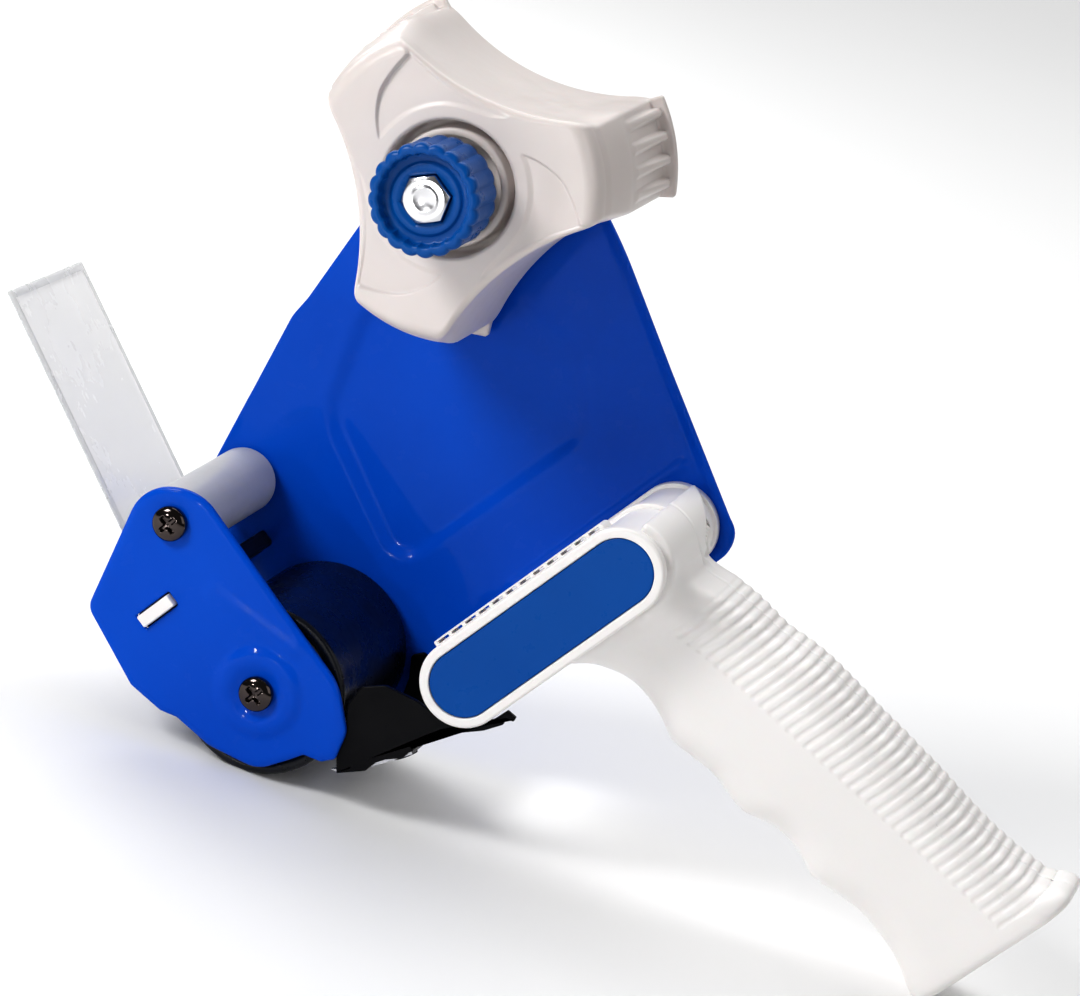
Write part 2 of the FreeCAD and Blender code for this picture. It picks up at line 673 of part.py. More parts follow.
def handle_shell(label, near):
    """One half of the grip: hollow, with a saddle round the rear end of the handle head."""
    body = new_body(label)
    mid, wall = dim("grip_mid"), dim("shell_wall")
    grip_loft(body, "AdditiveLoft", GRIP_STATIONS, 0.0)
    hx, hz = dim("head_x1"), dim("head_z")
    inner, outer = dim("body_rad") + 0.05, dim("body_rad") + 2.1
    saddle = [
        (*polar(hx, hz, outer, 58.0), polar(hx, hz, outer, -20.0)),
        (*polar(hx, hz, outer, -92.0),),
        (*polar(hx, hz, inner, -92.0), polar(hx, hz, inner, -20.0)),
        (*polar(hx, hz, inner, 58.0),),
    ]
    extrude(body, lambda s: outline(s, saddle), 1.7, 47.2)
    inside = GRIP_STATIONS[1:-2]
    grip_loft(body, "SubtractiveLoft", inside, wall)

    def other_half(sketch):
        outline(sketch, [(40, -160), (140, -160), (140, 0), (40, 0)])

    pocket(body, other_half, *((mid, mid + 40) if near else (mid - 40, mid)))

    def bosses(sketch):
        for x, z in SHELL_SCREWS:
            circle(sketch, x, z, 4.0)

    extrude(body, bosses, *((mid - 12.5, mid) if near else (mid, mid + 12.5)))

    def bores(sketch, radius):
        for x, z in SHELL_SCREWS:
            circle(sketch, x, z, radius)

    if near:
        pocket(body, lambda s: bores(s, 1.55), mid - 9.0, mid + 1)
    else:
        pocket(body, lambda s: bores(s, 1.7), mid - 1, mid + 20)
        pocket(body, lambda s: bores(s, 3.3), mid + 8.0, mid + 20)
    # the mid rib and the rear flange of the head need room inside the saddle
    ring = stadium("head_x0", "head_x1", "head_z", "ring_rad", 0.1)
    pocket(body, lambda s: outline(s, ring), mid - 1.3, mid + 1.3)


def shell_screws():
    body = new_body("handle_shell_screws")
    mid = dim("grip_mid")

    def discs(radius):
        def draw(sketch):
            for x, z in SHELL_SCREWS:
                circle(sketch, x, z, radius)

        return draw

    extrude(body, discs(2.8), mid + 8.0, mid + 10.2)
    extrude(body, discs(1.5), mid - 8.5, mid + 8.0)


def handle_head():
    """Slot-shaped head across the frame: two flanges, a mid rib, and a cavity with two screw posts."""
    body = new_body("handle_head")
    y0, far, mid = dim("ring_y0"), dim("far_in"), dim("grip_mid")

    def slot(radius, grow=0.0):
        return lambda s: outline(s, stadium("head_x0", "head_x1", "head_z", radius, grow))

    extrude(body, slot("ring_rad"), y0, 1.6)
    extrude(body, slot("body_rad"), 1.6, far - 2.8)
    extrude(body, slot("ring_rad"), far - 2.8, far)
    extrude(body, slot("ring_rad"), mid - 1.2, mid + 1.2)
    pocket(body, slot("cap_rad"), y0 - 1, y0 + 1.6)
    pocket(body, slot("cavity_rad"), y0, far - 3.0)

    def posts(sketch):
        circle(sketch, "head_x0", "head_z", 4.2)
        circle(sketch, "head_x1", "head_z", 4.2)

    extrude(body, posts, 34.0, far - 2.9)

    def pilots(sketch):
        circle(sketch, "head_x0", "head_z", ("screw_rad", 0.05))
        circle(sketch, "head_x1", "head_z", ("screw_rad", 0.05))

    pocket(body, pilots, 33.0, far + 1)

    cap = new_body("handle_head_cap")
    extrude(cap, slot("cap_rad", -0.15), y0 + 0.3, y0 + 1.6)


# ---------------------------------------------------------------- the whole tool
def build():
    main_plate()
    front_plate()
    axle("roller_axle", 0, 0, 0.7)
    axle("guide_axle", "guide_x", "guide_z", "plate_t")
    back = dim("far_in") + dim("plate_t")
    plate_screw("roller_screw_near", 0, 0, -dim("boss_h"), False)
    plate_screw("roller_screw_far", 0, 0, back, True)
    plate_screw("guide_screw_near", "guide_x", "guide_z", 0.0, False)
    plate_screw("guide_screw_far", "guide_x", "guide_z", back, True)
    plate_screw("head_screw_front", "head_x0", "head_z", back, True)
    plate_screw("head_screw_rear", "head_x1", "head_z", back, True)
    application_roller()
    guide_roller()
    hub()
    tension_adjuster()
    flap()
    cutter()
    handle_shell("handle_shell_near", True)
    handle_shell("handle_shell_far", False)
    shell_screws()
    handle_head()
    doc.recompute()


def check_and_export():
    for item in doc.Objects:
        if "Invalid" in item.State or "Error" in item.State:
            raise RuntimeError(f"{item.Name} failed: {item.State}")
    for part in SUB_PARTS:
        if part.Shape.isNull() or not part.Shape.isValid() or not part.Shape.Solids:
            raise RuntimeError(f"{part.Label} has no valid shape")
    os.makedirs("parts", exist_ok=True)
    box = FreeCAD.BoundBox()
    for part in SUB_PARTS:
        part.Shape.exportStep(f"parts/{part.Label}.step")
        box.add(part.Shape.BoundBox)
        print(part.Label, len(part.Shape.Solids), round(part.Shape.Volume, 1))
    print("box", [round(c, 2) for c in (box.XMin, box.XMax, box.YMin, box.YMax, box.ZMin, box.ZMax)])


build()
check_and_export()
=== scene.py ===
"""Looks of the tape gun dispenser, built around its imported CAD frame.

Pieces are drawn in the tool's own layout, in millimetres: X runs back along the head of the handle,
Z up from the grip towards the hub, and Y from the small side plate to the main one, with the
application roller's axis at X = 0, Z = 0.  LAYOUT carries that to the row frame, in metres.
"""

import json
import math

import bmesh
import bpy
import numpy as np
from mathutils import Matrix, Vector, geometry


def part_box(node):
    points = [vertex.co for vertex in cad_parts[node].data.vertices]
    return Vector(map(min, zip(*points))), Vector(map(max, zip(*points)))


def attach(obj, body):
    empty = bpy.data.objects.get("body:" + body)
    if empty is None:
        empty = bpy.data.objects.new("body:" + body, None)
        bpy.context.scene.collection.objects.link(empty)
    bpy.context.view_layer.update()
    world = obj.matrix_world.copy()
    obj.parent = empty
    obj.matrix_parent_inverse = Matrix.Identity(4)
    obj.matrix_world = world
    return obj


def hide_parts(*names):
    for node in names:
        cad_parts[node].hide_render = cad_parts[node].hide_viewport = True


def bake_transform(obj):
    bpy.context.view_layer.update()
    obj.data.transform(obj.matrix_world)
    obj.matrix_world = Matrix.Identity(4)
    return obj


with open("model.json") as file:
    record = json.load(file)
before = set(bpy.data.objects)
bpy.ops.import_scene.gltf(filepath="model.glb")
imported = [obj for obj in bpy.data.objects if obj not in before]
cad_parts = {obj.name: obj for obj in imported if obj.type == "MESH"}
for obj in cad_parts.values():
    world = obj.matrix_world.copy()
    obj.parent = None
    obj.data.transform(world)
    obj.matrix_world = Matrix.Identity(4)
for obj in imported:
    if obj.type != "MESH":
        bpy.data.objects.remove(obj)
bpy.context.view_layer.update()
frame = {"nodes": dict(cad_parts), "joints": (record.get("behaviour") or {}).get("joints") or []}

# ---------------------------------------------------------------- layout, from the frame
JOINTS = {joint["name"]: joint for joint in frame["joints"]}
ROLLER_AT = Vector(JOINTS["roller_spin"]["pos_m"])
HUB_AT = Vector(JOINTS["hub_spin"]["pos_m"])
HUB_X, HUB_Z = 107.2, 65.3
PLATE_T = 1.5
SPAN = HUB_AT - ROLLER_AT
TURN = math.atan2(SPAN.z, SPAN.x) - math.atan2(HUB_Z, HUB_X)
NEAR_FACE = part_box("guide_axle")[0].y - PLATE_T / 1000
LAYOUT = (
    Matrix.Translation((ROLLER_AT.x, NEAR_FACE, ROLLER_AT.z))
    @ Matrix.Rotation(-TURN, 4, "Y")
    @ Matrix.Scale(0.001, 4)
)

# ---------------------------------------------------------------- main sizes, mm
FAR_IN = 50.5
BACK = FAR_IN + PLATE_T
MID_Y = 26.0
ROLLER_R, CORE_R = 20.0, 17.0
ROLLER_Y = (2.5, 49.5)
GUIDE_X, GUIDE_Z, GUIDE_R = 7.4, 42.8, 7.9
HEAD_X, HEAD_Z = (42.4, 88.5), -25.4
RING_R, BODY_R, CAP_R, RING_Y = 10.2, 9.2, 7.9, -1.2
SLOT_X, SLOT_Z = -8.3, 28.7
FLAP_LEAN = math.radians(11.3)
ARMS = (-30.0, 90.0, 210.0)
BLADE_LEAN, WEB_HALF = math.radians(17.1), 0.75


def placed(x, y, z):
    """A layout point in the row frame."""
    return LAYOUT @ Vector((x, y, z))


# ---------------------------------------------------------------- mesh helpers
def added(name, data):
    """A new object for some data, in the scene."""
    obj = bpy.data.objects.new(name, data)
    bpy.context.scene.collection.objects.link(obj)
    return obj


def mesh_of(name, verts, faces):
    mesh = bpy.data.meshes.new(name)
    mesh.from_pydata([tuple(v) for v in verts], [], [tuple(f) for f in faces])
    return mesh


def piece(name, verts, faces, body, slot, material, stands_for=(), **kind):
    """A closed mesh from layout points, riding on a body of the frame."""
    return finish_piece(mesh_of(name, verts, faces), name, body, slot, material, stands_for, **kind)


def finish_piece(mesh, name, body, slot, material, stands_for=(), smooth=True, weighted=True):
    bm = bmesh.new()
    bm.from_mesh(mesh)
    bmesh.ops.remove_doubles(bm, verts=bm.verts, dist=1e-4)
    bmesh.ops.dissolve_degenerate(bm, edges=bm.edges, dist=1e-5)
    bmesh.ops.delete(bm, geom=[v for v in bm.verts if not v.link_faces], context="VERTS")
    bmesh.ops.recalc_face_normals(bm, faces=bm.faces)
    bm.to_mesh(mesh)
    bm.free()
    mesh.transform(LAYOUT)
    mesh.polygons.foreach_set("use_smooth", [smooth] * len(mesh.polygons))
    obj = added(name, mesh)
    obj.data.materials.append(material)
    if weighted:
        obj.modifiers.new("Weighted", "WEIGHTED_NORMAL")
    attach(obj, body)
    if stands_for:
        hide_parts(*stands_for)
    return obj


def grid_faces(rows, cols, wrap_rows=False, wrap_cols=True, start=0):
    """Quads over a grid of points stored row by row."""
    faces = []
    for i in range(rows if wrap_rows else rows - 1):
        for j in range(cols if wrap_cols else cols - 1):
            a, b = start + i * cols, start + (i + 1) % rows * cols
            k = (j + 1) % cols
            faces.append((a + j, b + j, b + k, a + k))
    return faces


def skin(rows, wrap_rows=False):
    """Points and faces of a tube given as rows of points."""
    return np.concatenate(rows), grid_faces(len(rows), len(rows[0]), wrap_rows)


def closed(rows):
    """The same with a face over each end."""
    verts, faces = skin(rows)
    count, total = len(rows[0]), len(verts)
    return verts, faces + [tuple(range(count)), tuple(range(total - count, total))]


def full_turn(count):
    return np.linspace(0, 2 * math.pi, count, endpoint=False)


def at_y(flat, y):
    """Points (x, z) as layout points, at one y or one each."""
    return np.stack([flat[:, 0], np.broadcast_to(y, len(flat)), flat[:, 1]], 1)


def rings_about(x, z, angles):
    """An empty list of rows, and a function that adds a ring round (x, z) to it."""
    rows = []

    def ring(radius, y):
        radius, y = np.broadcast_to(radius, angles.shape), np.broadcast_to(y, angles.shape)
        rows.append(np.stack([x + radius * np.cos(angles), y, z + radius * np.sin(angles)], 1))

    return rows, ring


def arc(cx, cz, r, start, end, steps):
    """Points on an arc, angles in degrees."""
    a = np.radians(np.linspace(start, end, steps + 1))
    return np.stack([cx + r * np.cos(a), cz + r * np.sin(a)], 1)


def rounded(corners, step=1.0, turn_step=12.0):
    """A closed outline with each corner (x, z, radius) rounded and long sides divided."""
    out, n = [], len(corners)
    for i, (x, z, r) in enumerate(corners):
        p = np.array([x, z], float)
        a = np.array(corners[i - 1][:2]) - p
        b = np.array(corners[(i + 1) % n][:2]) - p
        a, b = a / np.linalg.norm(a), b / np.linalg.norm(b)
        half = math.acos(max(-1.0, min(1.0, float(a @ b)))) / 2
        if r <= 0 or half > math.radians(89.5):
            out.append(p)
            continue
        centre = p + (a + b) / np.linalg.norm(a + b) * (r / math.sin(half))
        first = p + a * (r / math.tan(half)) - centre
        last = p + b * (r / math.tan(half)) - centre
        sweep = math.pi - 2 * half
        way = 1 if first[0] * last[1] - first[1] * last[0] > 0 else -1
        steps = max(2, math.ceil(math.degrees(sweep) / turn_step), math.ceil(sweep * r / step))
        for t in np.linspace(0, way * sweep, steps + 1):
            c, s = math.cos(t), math.sin(t)
            out.append(centre + np.array([c * first[0] - s * first[1], s * first[0] + c * first[1]]))
    dense = []
    for p, q in zip(out, out[1:] + out[:1]):
        parts = max(1, math.ceil(np.linalg.norm(q - p) / step - 0.2))
        dense += [p + (q - p) * k / parts for k in range(parts)]
    return np.array(dense)


def box_outline(x0, x1, z0, z1, r, step=1.0, turn_step=12.0):
    return rounded([(x0, z0, r), (x1, z0, r), (x1, z1, r), (x0, z1, r)], step, turn_step)


def area(loop):
    x, z = loop[:, 0], loop[:, 1]
    return 0.5 * float(np.sum(x * np.roll(z, -1) - np.roll(x, -1) * z))


def offset(loop, by):
    """Moves a counter-clockwise loop outwards by `by`, or inwards where it is negative."""
    before, after = np.roll(loop, 1, 0), np.roll(loop, -1, 0)
    d1, d2 = loop - before, after - loop
    d1 /= np.linalg.norm(d1, axis=1)[:, None] + 1e-12
    d2 /= np.linalg.norm(d2, axis=1)[:, None] + 1e-12
    normal = np.stack([d1[:, 1] + d2[:, 1], -d1[:, 0] - d2[:, 0]], 1)
    normal /= np.linalg.norm(normal, axis=1)[:, None] + 1e-12
    cosine = np.maximum(0.5, np.abs(np.sum(normal * np.stack([d1[:, 1], -d1[:, 0]], 1), 1)))
    return loop + normal * (by / cosine)[:, None]


def within(points, loop):
    """Which points lie inside a loop."""
    x, z = points[:, 0][:, None], points[:, 1][:, None]
    x1, z1 = loop[:, 0][None], loop[:, 1][None]
    x2, z2 = np.roll(loop[:, 0], -1)[None], np.roll(loop[:, 1], -1)[None]
    cross = (z1 > z) != (z2 > z)
    at = (x2 - x1) * (z - z1) / np.where(z2 == z1, 1e-12, z2 - z1) + x1
    return np.sum(cross & (x < at), 1) % 2 == 1


def distance_to(points, loop, closed=True):
    """Distance from points to a loop or an open chain."""
    ends = np.roll(loop, -1, 0) if closed else loop[1:]
    starts = loop if closed else loop[:-1]
    best = np.full(len(points), 1e9)
    for a, b in zip(starts, ends):
        d = b - a
        t = np.clip(((points - a) @ d) / (d @ d + 1e-12), 0, 1)
        gap = points - a - t[:, None] * d
        best = np.minimum(best, np.einsum("ij,ij->i", gap, gap))
    return np.sqrt(best)


def ease(t):
    t = np.clip(t, 0.0, 1.0)
    return t * t * (3 - 2 * t)


def through(xs, ys, x):
    """A smooth curve through the points (xs, ys), with xs rising."""
    xs, ys = np.asarray(xs, float), np.asarray(ys, float)
    slope = np.gradient(ys, xs)
    x = np.clip(x, xs[0], xs[-1])
    i = np.clip(np.searchsorted(xs, x) - 1, 0, len(xs) - 2)
    h = xs[i + 1] - xs[i]
    t = (x - xs[i]) / h
    a, b = (1 + 2 * t) * (1 - t) ** 2, t * (1 - t) ** 2
    c, d = t * t * (3 - 2 * t), t * t * (t - 1)
    return a * ys[i] + b * h * slope[i] + c * ys[i + 1] + d * h * slope[i + 1]


def inside_of(points, loops):
    """Which points lie inside the first loop and outside the others."""
    keep = within(points, loops[0])
    for hole in loops[1:]:
        keep &= ~within(points, hole)
    return keep


def triangulated(loops, grid):
    """Points and triangles over a region, and a table from the loops' points to them."""
    low, high = loops[0].min(0), loops[0].max(0)
    xs = np.arange(low[0], high[0], grid)
    zs = np.arange(low[1], high[1], grid * math.sqrt(3) / 2)
    net = np.array([(x + (k % 2) * grid / 2, z) for k, z in enumerate(zs) for x in xs])
    net = net[inside_of(net, loops)]
    edges, begin = [], 0
    for loop in loops:
        net = net[distance_to(net, loop) > grid * 0.55]
        count = len(loop)
        edges += [(begin + k, begin + (k + 1) % count) for k in range(count)]
        begin += count
    flat = [Vector(p) for p in np.concatenate(loops + [net])]
    made = geometry.delaunay_2d_cdt(flat, edges, [], 1, 1e-5)
    points = np.array([tuple(v) for v in made[0]])
    tris = np.array(made[2])
    where = {old: new for new, olds in enumerate(made[3]) for old in olds}
    return points, tris[inside_of(points[tris].mean(1), loops)], where


def sheet_metal(name, outline, holes, lift, y_mid, thick, rim, grid, **kind):
    """Pressed sheet: an outline with holes, rounded edges, and lift(points) as its relief in Y."""
    loops = [outline if area(outline) > 0 else outline[::-1]]
    loops += [hole[::-1] if area(hole) > 0 else hole for hole in holes]
    points, tris, where = triangulated([offset(loop, -rim) for loop in loops], grid)
    total, height = len(points), lift(points)
    verts = [at_y(points, y_mid + y + height) for y in (-thick / 2, thick / 2)]
    faces = [tuple(t) for t in tris] + [tuple(int(v) + total for v in t[::-1]) for t in tris]
    start, begin = 0, 2 * total
    for loop in loops:
        count = len(loop)
        rows = [[where[start + k] for k in range(count)]]
        for side, a in ((-1, 30), (-1, 60), (-1, 90), (1, 90), (1, 60), (1, 30)):
            s, c = math.sin(math.radians(a)), math.cos(math.radians(a))
            ring = offset(loop, -rim * (1 - s))
            verts.append(at_y(ring, y_mid + side * (thick / 2 - rim * (1 - c)) + lift(ring)))
            rows.append([begin + k for k in range(count)])
            begin += count
        rows.append([where[start + k] + total for k in range(count)])
        start += count
        for upper, lower in zip(rows, rows[1:]):
            for k in range(count):
                after = (k + 1) % count
                faces.append((upper[k], lower[k], lower[after], upper[after]))
    return piece(name, np.concatenate(verts), faces, **kind)


def ring_of(x, z, count):
    """A round spine: centres and outward directions, for lathe()."""
    a = full_turn(count)
    return np.tile([x, z], (count, 1)).astype(float), np.stack([np.cos(a), np.sin(a)], 1)


def slot_of(x0, x1, z, turn, side):
    """A slot-shaped spine with end centres at x0 and x1."""
    centres, out = [], []
    for start, end, first, below in ((x1, x0, 90, -1.0), (x0, x1, 270, 1.0)):
        for a in np.radians(np.linspace(first, first - 180, turn)):
            centres.append((start, z))
            out.append((math.cos(a), math.sin(a)))
        for t in np.linspace(0, 1, side + 2)[1:-1]:
            centres.append((start + (end - start) * t, z))
            out.append((0.0, below))
    return np.array(centres), np.array(out)


def swept(profile, spine, radius=None):
    """Points and faces of a closed profile of (radius, y) carried round a spine."""
    centres, out = spine
    count, total = len(centres), len(profile) * len(centres)
    angle = np.arctan2(out[:, 1], out[:, 0])
    rows, faces = [], []
    for i, ((r, y), after) in enumerate(zip(profile, np.roll(profile, -1, 0))):
        reach = np.full(count, float(r)) if radius is None else radius(r, y, angle)
        rows.append(at_y(centres + out * reach[:, None], float(y)))
        if max(r, after[0]) > 1e-6:
            this, other = i * count, (i + 1) * count % total
            for j in range(count):
                k = (j + 1) % count
                faces.append((this + j, other + j, other + k, this + k))
    return np.concatenate(rows), faces


def lathe(name, corners, spine, radius=None, step=1.5, **kind):
    """A turned piece: a closed profile of corners (radius, y, rounding), swept round a spine."""
    return piece(name, *swept(rounded(corners, step, 18.0), spine, radius), **kind)


def joined(parts):
    """Several (verts, faces) as one."""
    verts, faces, count = [], [], 0
    for v, f in parts:
        verts.append(np.asarray(v, float))
        faces += [tuple(int(k) + count for k in face) for face in f]
        count += len(v)
    return np.concatenate(verts), faces


def prism(loop, y0, y1, rim=0.3):
    """A solid with a loop as its section in X and Z, and rounded rims."""
    loop, rows = loop if area(loop) > 0 else loop[::-1], []
    for y, side in ((y0, 1), (y1, -1)):
        ring = []
        for a in (0, 30, 60, 90):
            s, c = math.sin(math.radians(a)), math.cos(math.radians(a))
            ring.append(at_y(offset(loop, -rim * (1 - s)), y + side * rim * (1 - c)))
        rows += ring if side > 0 else ring[::-1]
    return closed(rows)


# ---------------------------------------------------------------- materials
class Nodes:
    """Small helper round one material's node tree."""

    def __init__(self, name, colour, roughness, **sockets):
        self.material = bpy.data.materials.new(name)
        self.material.use_nodes = True
        self.tree = self.material.node_tree
        self.shader = self.tree.nodes["Principled BSDF"]
        self.shader.inputs["Base Color"].default_value = (*colour, 1.0)
        self.shader.inputs["Roughness"].default_value = roughness
        for socket, value in sockets.items():
            self.shader.inputs[socket.replace("_", " ")].default_value = value
        self.place = self.add("ShaderNodeTexCoord").outputs["Object"]

    def add(self, kind, **inputs):
        node = self.tree.nodes.new(kind)
        for key, value in inputs.items():
            socket = node.inputs[key.replace("_", " ")]
            if isinstance(value, bpy.types.NodeSocket):
                self.tree.links.new(value, socket)
            else:
                socket.default_value = value
        return node

    def noise(self, scale, detail=3.0, roughness=0.5, stretch=None):
        where = self.place
        if stretch:
            where = self.add("ShaderNodeMapping", Vector=where, Scale=stretch).outputs["Vector"]
        node = self.add("ShaderNodeTexNoise", Vector=where, Scale=scale, Detail=detail, Roughness=roughness)
        return node.outputs["Fac"]

    def roughness(self, source, low, high):
        node = self.add("ShaderNodeMapRange", Value=source)
        for key, value in (("From Min", 0.3), ("From Max", 0.7), ("To Min", low), ("To Max", high)):
            node.inputs[key].default_value = value
        self.link(node.outputs["Result"], "Roughness")

    def colours(self, source, first, second):
        node = self.add("ShaderNodeValToRGB", Fac=source)
        for element, position, colour in zip(node.color_ramp.elements, (0.3, 0.7), (first, second)):
            element.position = position
            element.color = (*colour, 1.0)
        self.link(node.outputs["Color"], "Base Color")

    def link(self, source, socket):
        self.tree.links.new(source, self.shader.inputs[socket])

    def bumps(self, *layers):
        """Layers of (source, strength, distance in metres)."""
        normal = None
        for source, strength, distance in layers:
            node = self.add("ShaderNodeBump", Height=source, Strength=strength, Distance=distance)
            if normal is not None:
                self.tree.links.new(normal, node.inputs["Normal"])
            normal = node.outputs["Normal"]
        self.link(normal, "Normal")


def paint():
    n = Nodes("blue_paint", (0.0, 0.072, 0.52), 0.24,
              IOR=1.45, Coat_Weight=0.14, Coat_Roughness=0.04, Specular_IOR_Level=0.05)
    n.colours(n.noise(22, 4), (0.0, 0.066, 0.49), (0.0, 0.078, 0.55))
    n.roughness(n.noise(140, 4, 0.6), 0.18, 0.30)
    n.bumps((n.noise(900, 2), 0.05, 0.00006), (n.noise(110, 2), 0.07, 0.0002))
    return n.material


def plastic(name, first, second, rough=(0.30, 0.42), grain=0.10, subsurface=0.06, gloss=0.5):
    n = Nodes(name, first, rough[0],
              IOR=1.49, Subsurface_Weight=subsurface, Subsurface_Scale=0.002, Specular_IOR_Level=gloss)
    n.colours(n.noise(14, 3), first, second)
    n.roughness(n.noise(220, 4, 0.6), *rough)
    n.bumps((n.noise(2600, 2), grain, 0.00005), (n.noise(70, 2), 0.10, 0.0003))
    return n.material


def rubber():
    n = Nodes("black_rubber", (0.003, 0.004, 0.008), 0.28, IOR=1.5, Specular_IOR_Level=0.3)
    n.colours(n.noise(60, 5, 0.6), (0.002, 0.003, 0.006), (0.006, 0.007, 0.012))
    n.roughness(n.noise(110, 6, 0.7), 0.14, 0.42)
    n.bumps((n.noise(1500, 3), 0.15, 0.00006), (n.noise(120, 4), 0.25, 0.0002))
    return n.material


# Near-black paint with little gloss. On the cross member it is partly the bracket's real paint and partly
# painted shade for the dark gap under the roller and the head.
def black_paint():
    n = Nodes("black_paint", (0.003, 0.003, 0.004), 0.35, Specular_IOR_Level=0.10)
    n.colours(n.noise(80, 4), (0.002, 0.002, 0.003), (0.005, 0.005, 0.006))
    n.roughness(n.noise(200, 5, 0.6), 0.28, 0.50)
    n.bumps((n.noise(1200, 3), 0.12, 0.00006))
    return n.material


def metal(name, colour, rough, brushed=0.0):
    n = Nodes(name, colour, rough[0], Metallic=1.0)
    n.colours(n.noise(90, 4), tuple(c * 0.8 for c in colour), colour)
    n.roughness(n.noise(300, 5, 0.6), *rough)
    if brushed:
        n.bumps((n.noise(900, 3, 0.6, (1.0, 0.04, 1.0)), brushed, 0.00005))
    else:
        n.bumps((n.noise(700, 3), 0.08, 0.00005))
    return n.material


def film(name, first, second, clear):
    n = Nodes(name, first, 0.22, IOR=1.45, Transmission_Weight=clear, Coat_Weight=0.2,
              Subsurface_Weight=0.8, Subsurface_Scale=0.004, Subsurface_Radius=(1.0, 1.0, 1.0))
    n.colours(n.noise(18, 3), first, second)
    n.roughness(n.noise(60, 5, 0.6, (1.0, 1.0, 0.2)), 0.16, 0.36)
    n.bumps((n.noise(26, 3), 0.22, 0.0006), (n.noise(700, 2), 0.05, 0.0001))
    return n.material


def felt():
    n = Nodes("felt", (0.02, 0.02, 0.022), 0.95, Sheen_Weight=0.4)
    n.colours(n.noise(1500, 6, 0.7), (0.012, 0.012, 0.014), (0.05, 0.05, 0.055))
    n.bumps((n.noise(2500, 5, 0.7), 0.8, 0.0003))
    return n.material


PAINT = paint()
WHITE = plastic("white_plastic", (0.85, 0.825, 0.81), (0.89, 0.865, 0.85))
HUB_WHITE = plastic("hub_plastic", (0.65, 0.59, 0.565), (0.70, 0.64, 0.615), (0.28, 0.40))
GREY = plastic("grey_plastic", (0.44, 0.44, 0.46), (0.52, 0.52, 0.545), (0.30, 0.45))
# Near-black plastic for the bar between the plates: painted shade, because that bar sits in shadow.
PAINTED_SHADE_PAD = plastic("pad_plastic_painted_shade", (0.006, 0.008, 0.016), (0.012, 0.014, 0.026), (0.35, 0.5), 0.2, 0.0, 0.2)
CORE = plastic("core_plastic", (0.05, 0.05, 0.055), (0.08, 0.08, 0.085), (0.45, 0.6), 0.2, 0.0)
BLUE = plastic("blue_plastic", (0.0, 0.062, 0.27), (0.0, 0.078, 0.31), (0.24, 0.38), 0.08, 0.0, 0.2)
INLAY = plastic("inlay_plastic", (0.0, 0.066, 0.31), (0.0, 0.084, 0.36), (0.24, 0.40), 0.14, 0.0, 0.15)
RUBBER = rubber()
DARK_CHROME = metal("dark_chrome", (0.085, 0.070, 0.066), (0.05, 0.14))
STEEL = metal("zinc_steel", (0.60, 0.60, 0.61), (0.26, 0.42))
BRIGHT = metal("bright_steel", (0.82, 0.82, 0.84), (0.12, 0.28))
BLADE = metal("blade_steel", (0.66, 0.66, 0.68), (0.16, 0.30), 0.35)
BLACK_PAINT_AND_SHADE = black_paint()
FILM = film("flap_film", (0.93, 0.92, 0.915), (0.96, 0.95, 0.945), 0.02)
CLEAR_FILM = film("flap_border", (0.80, 0.81, 0.83), (0.88, 0.89, 0.90), 0.35)
FELT = felt()


# ---------------------------------------------------------------- side plates
def slot_hole():
    """The slot in each plate for the flap base's lug."""
    w, h = 5.1, 1.9
    return box_outline(SLOT_X - w, SLOT_X + w, SLOT_Z - h, SLOT_Z + h, 0.5)


def nose():
    """The front corners that both plates share, from the roller up."""
    return [(-3.5, -16.7, 3.0), (-11.6, -14.2, 8.0), (-18.0, -3.1, 6.0), (-20.3, 6.3, 2.0),
            (-22.7, 9.9, 1.0), (-24.9, 18.6, 0.8)]


def main_plate():
    corners = [(-22.1, 38.8, 6.0), (4.6, 51.3, 8.0), (41.1, 67.1, 12.0), (47.0, 68.2, 12.0),
               (77.5, 77.2, 60.0), (103.7, 87.4, 17.5), (120.8, 70.5, 17.0), (119.9, 41.6, 120.0),
               (109.4, 4.1, 200.0), (98.3, -37.8, 7.5), (44.0, -37.6, 6.0), (10.0, -27.4, 6.0),
               (2.0, -19.0, 3.0)]
    outline = rounded(corners + nose())
    panel = rounded([(24.5, 3.8, 7.0), (84.0, 3.2, 10.0), (94.6, 22.5, 9.0), (89.0, 46.0, 16.0),
                     (60.0, 60.0, 16.0), (33.0, 44.0, 16.0)], 1.5)
    rear = np.array([(119.6, 55.0), (119.3, 40.1), (109.1, 4.1), (99.6, -31.0), (94.5, -36.8),
                     (88.0, -37.5)])
    crease = np.array([(46.0, -14.6), (98.0, -14.6)])
    web = np.array([(2.0, 50.0), (19.0, 59.0)])
    bolt_hole = arc(HUB_X, HUB_Z, 3.2, 0, 345, 23)

    def lift(p):
        depth = np.where(within(p, panel), distance_to(p, panel), -distance_to(p, panel))
        pressed = 1.0 * ease((depth + 1.4) / 4.2)
        lip = -1.7 * ease((2.6 - distance_to(p, rear, False)) / 2.2)
        bead = -0.55 * ease(1.0 - distance_to(p, crease, False) / 1.5)
        fold = -0.35 * ease(1.0 - distance_to(p, web, False) / 3.0)
        return pressed + lip + bead + fold

    sheet_metal("main_side_plate_pressed", outline, [slot_hole(), bolt_hole], lift, FAR_IN + PLATE_T / 2,
                PLATE_T, 0.45, 1.15,
                body="root", slot="blue_paint", material=PAINT, stands_for=["main_side_plate"])


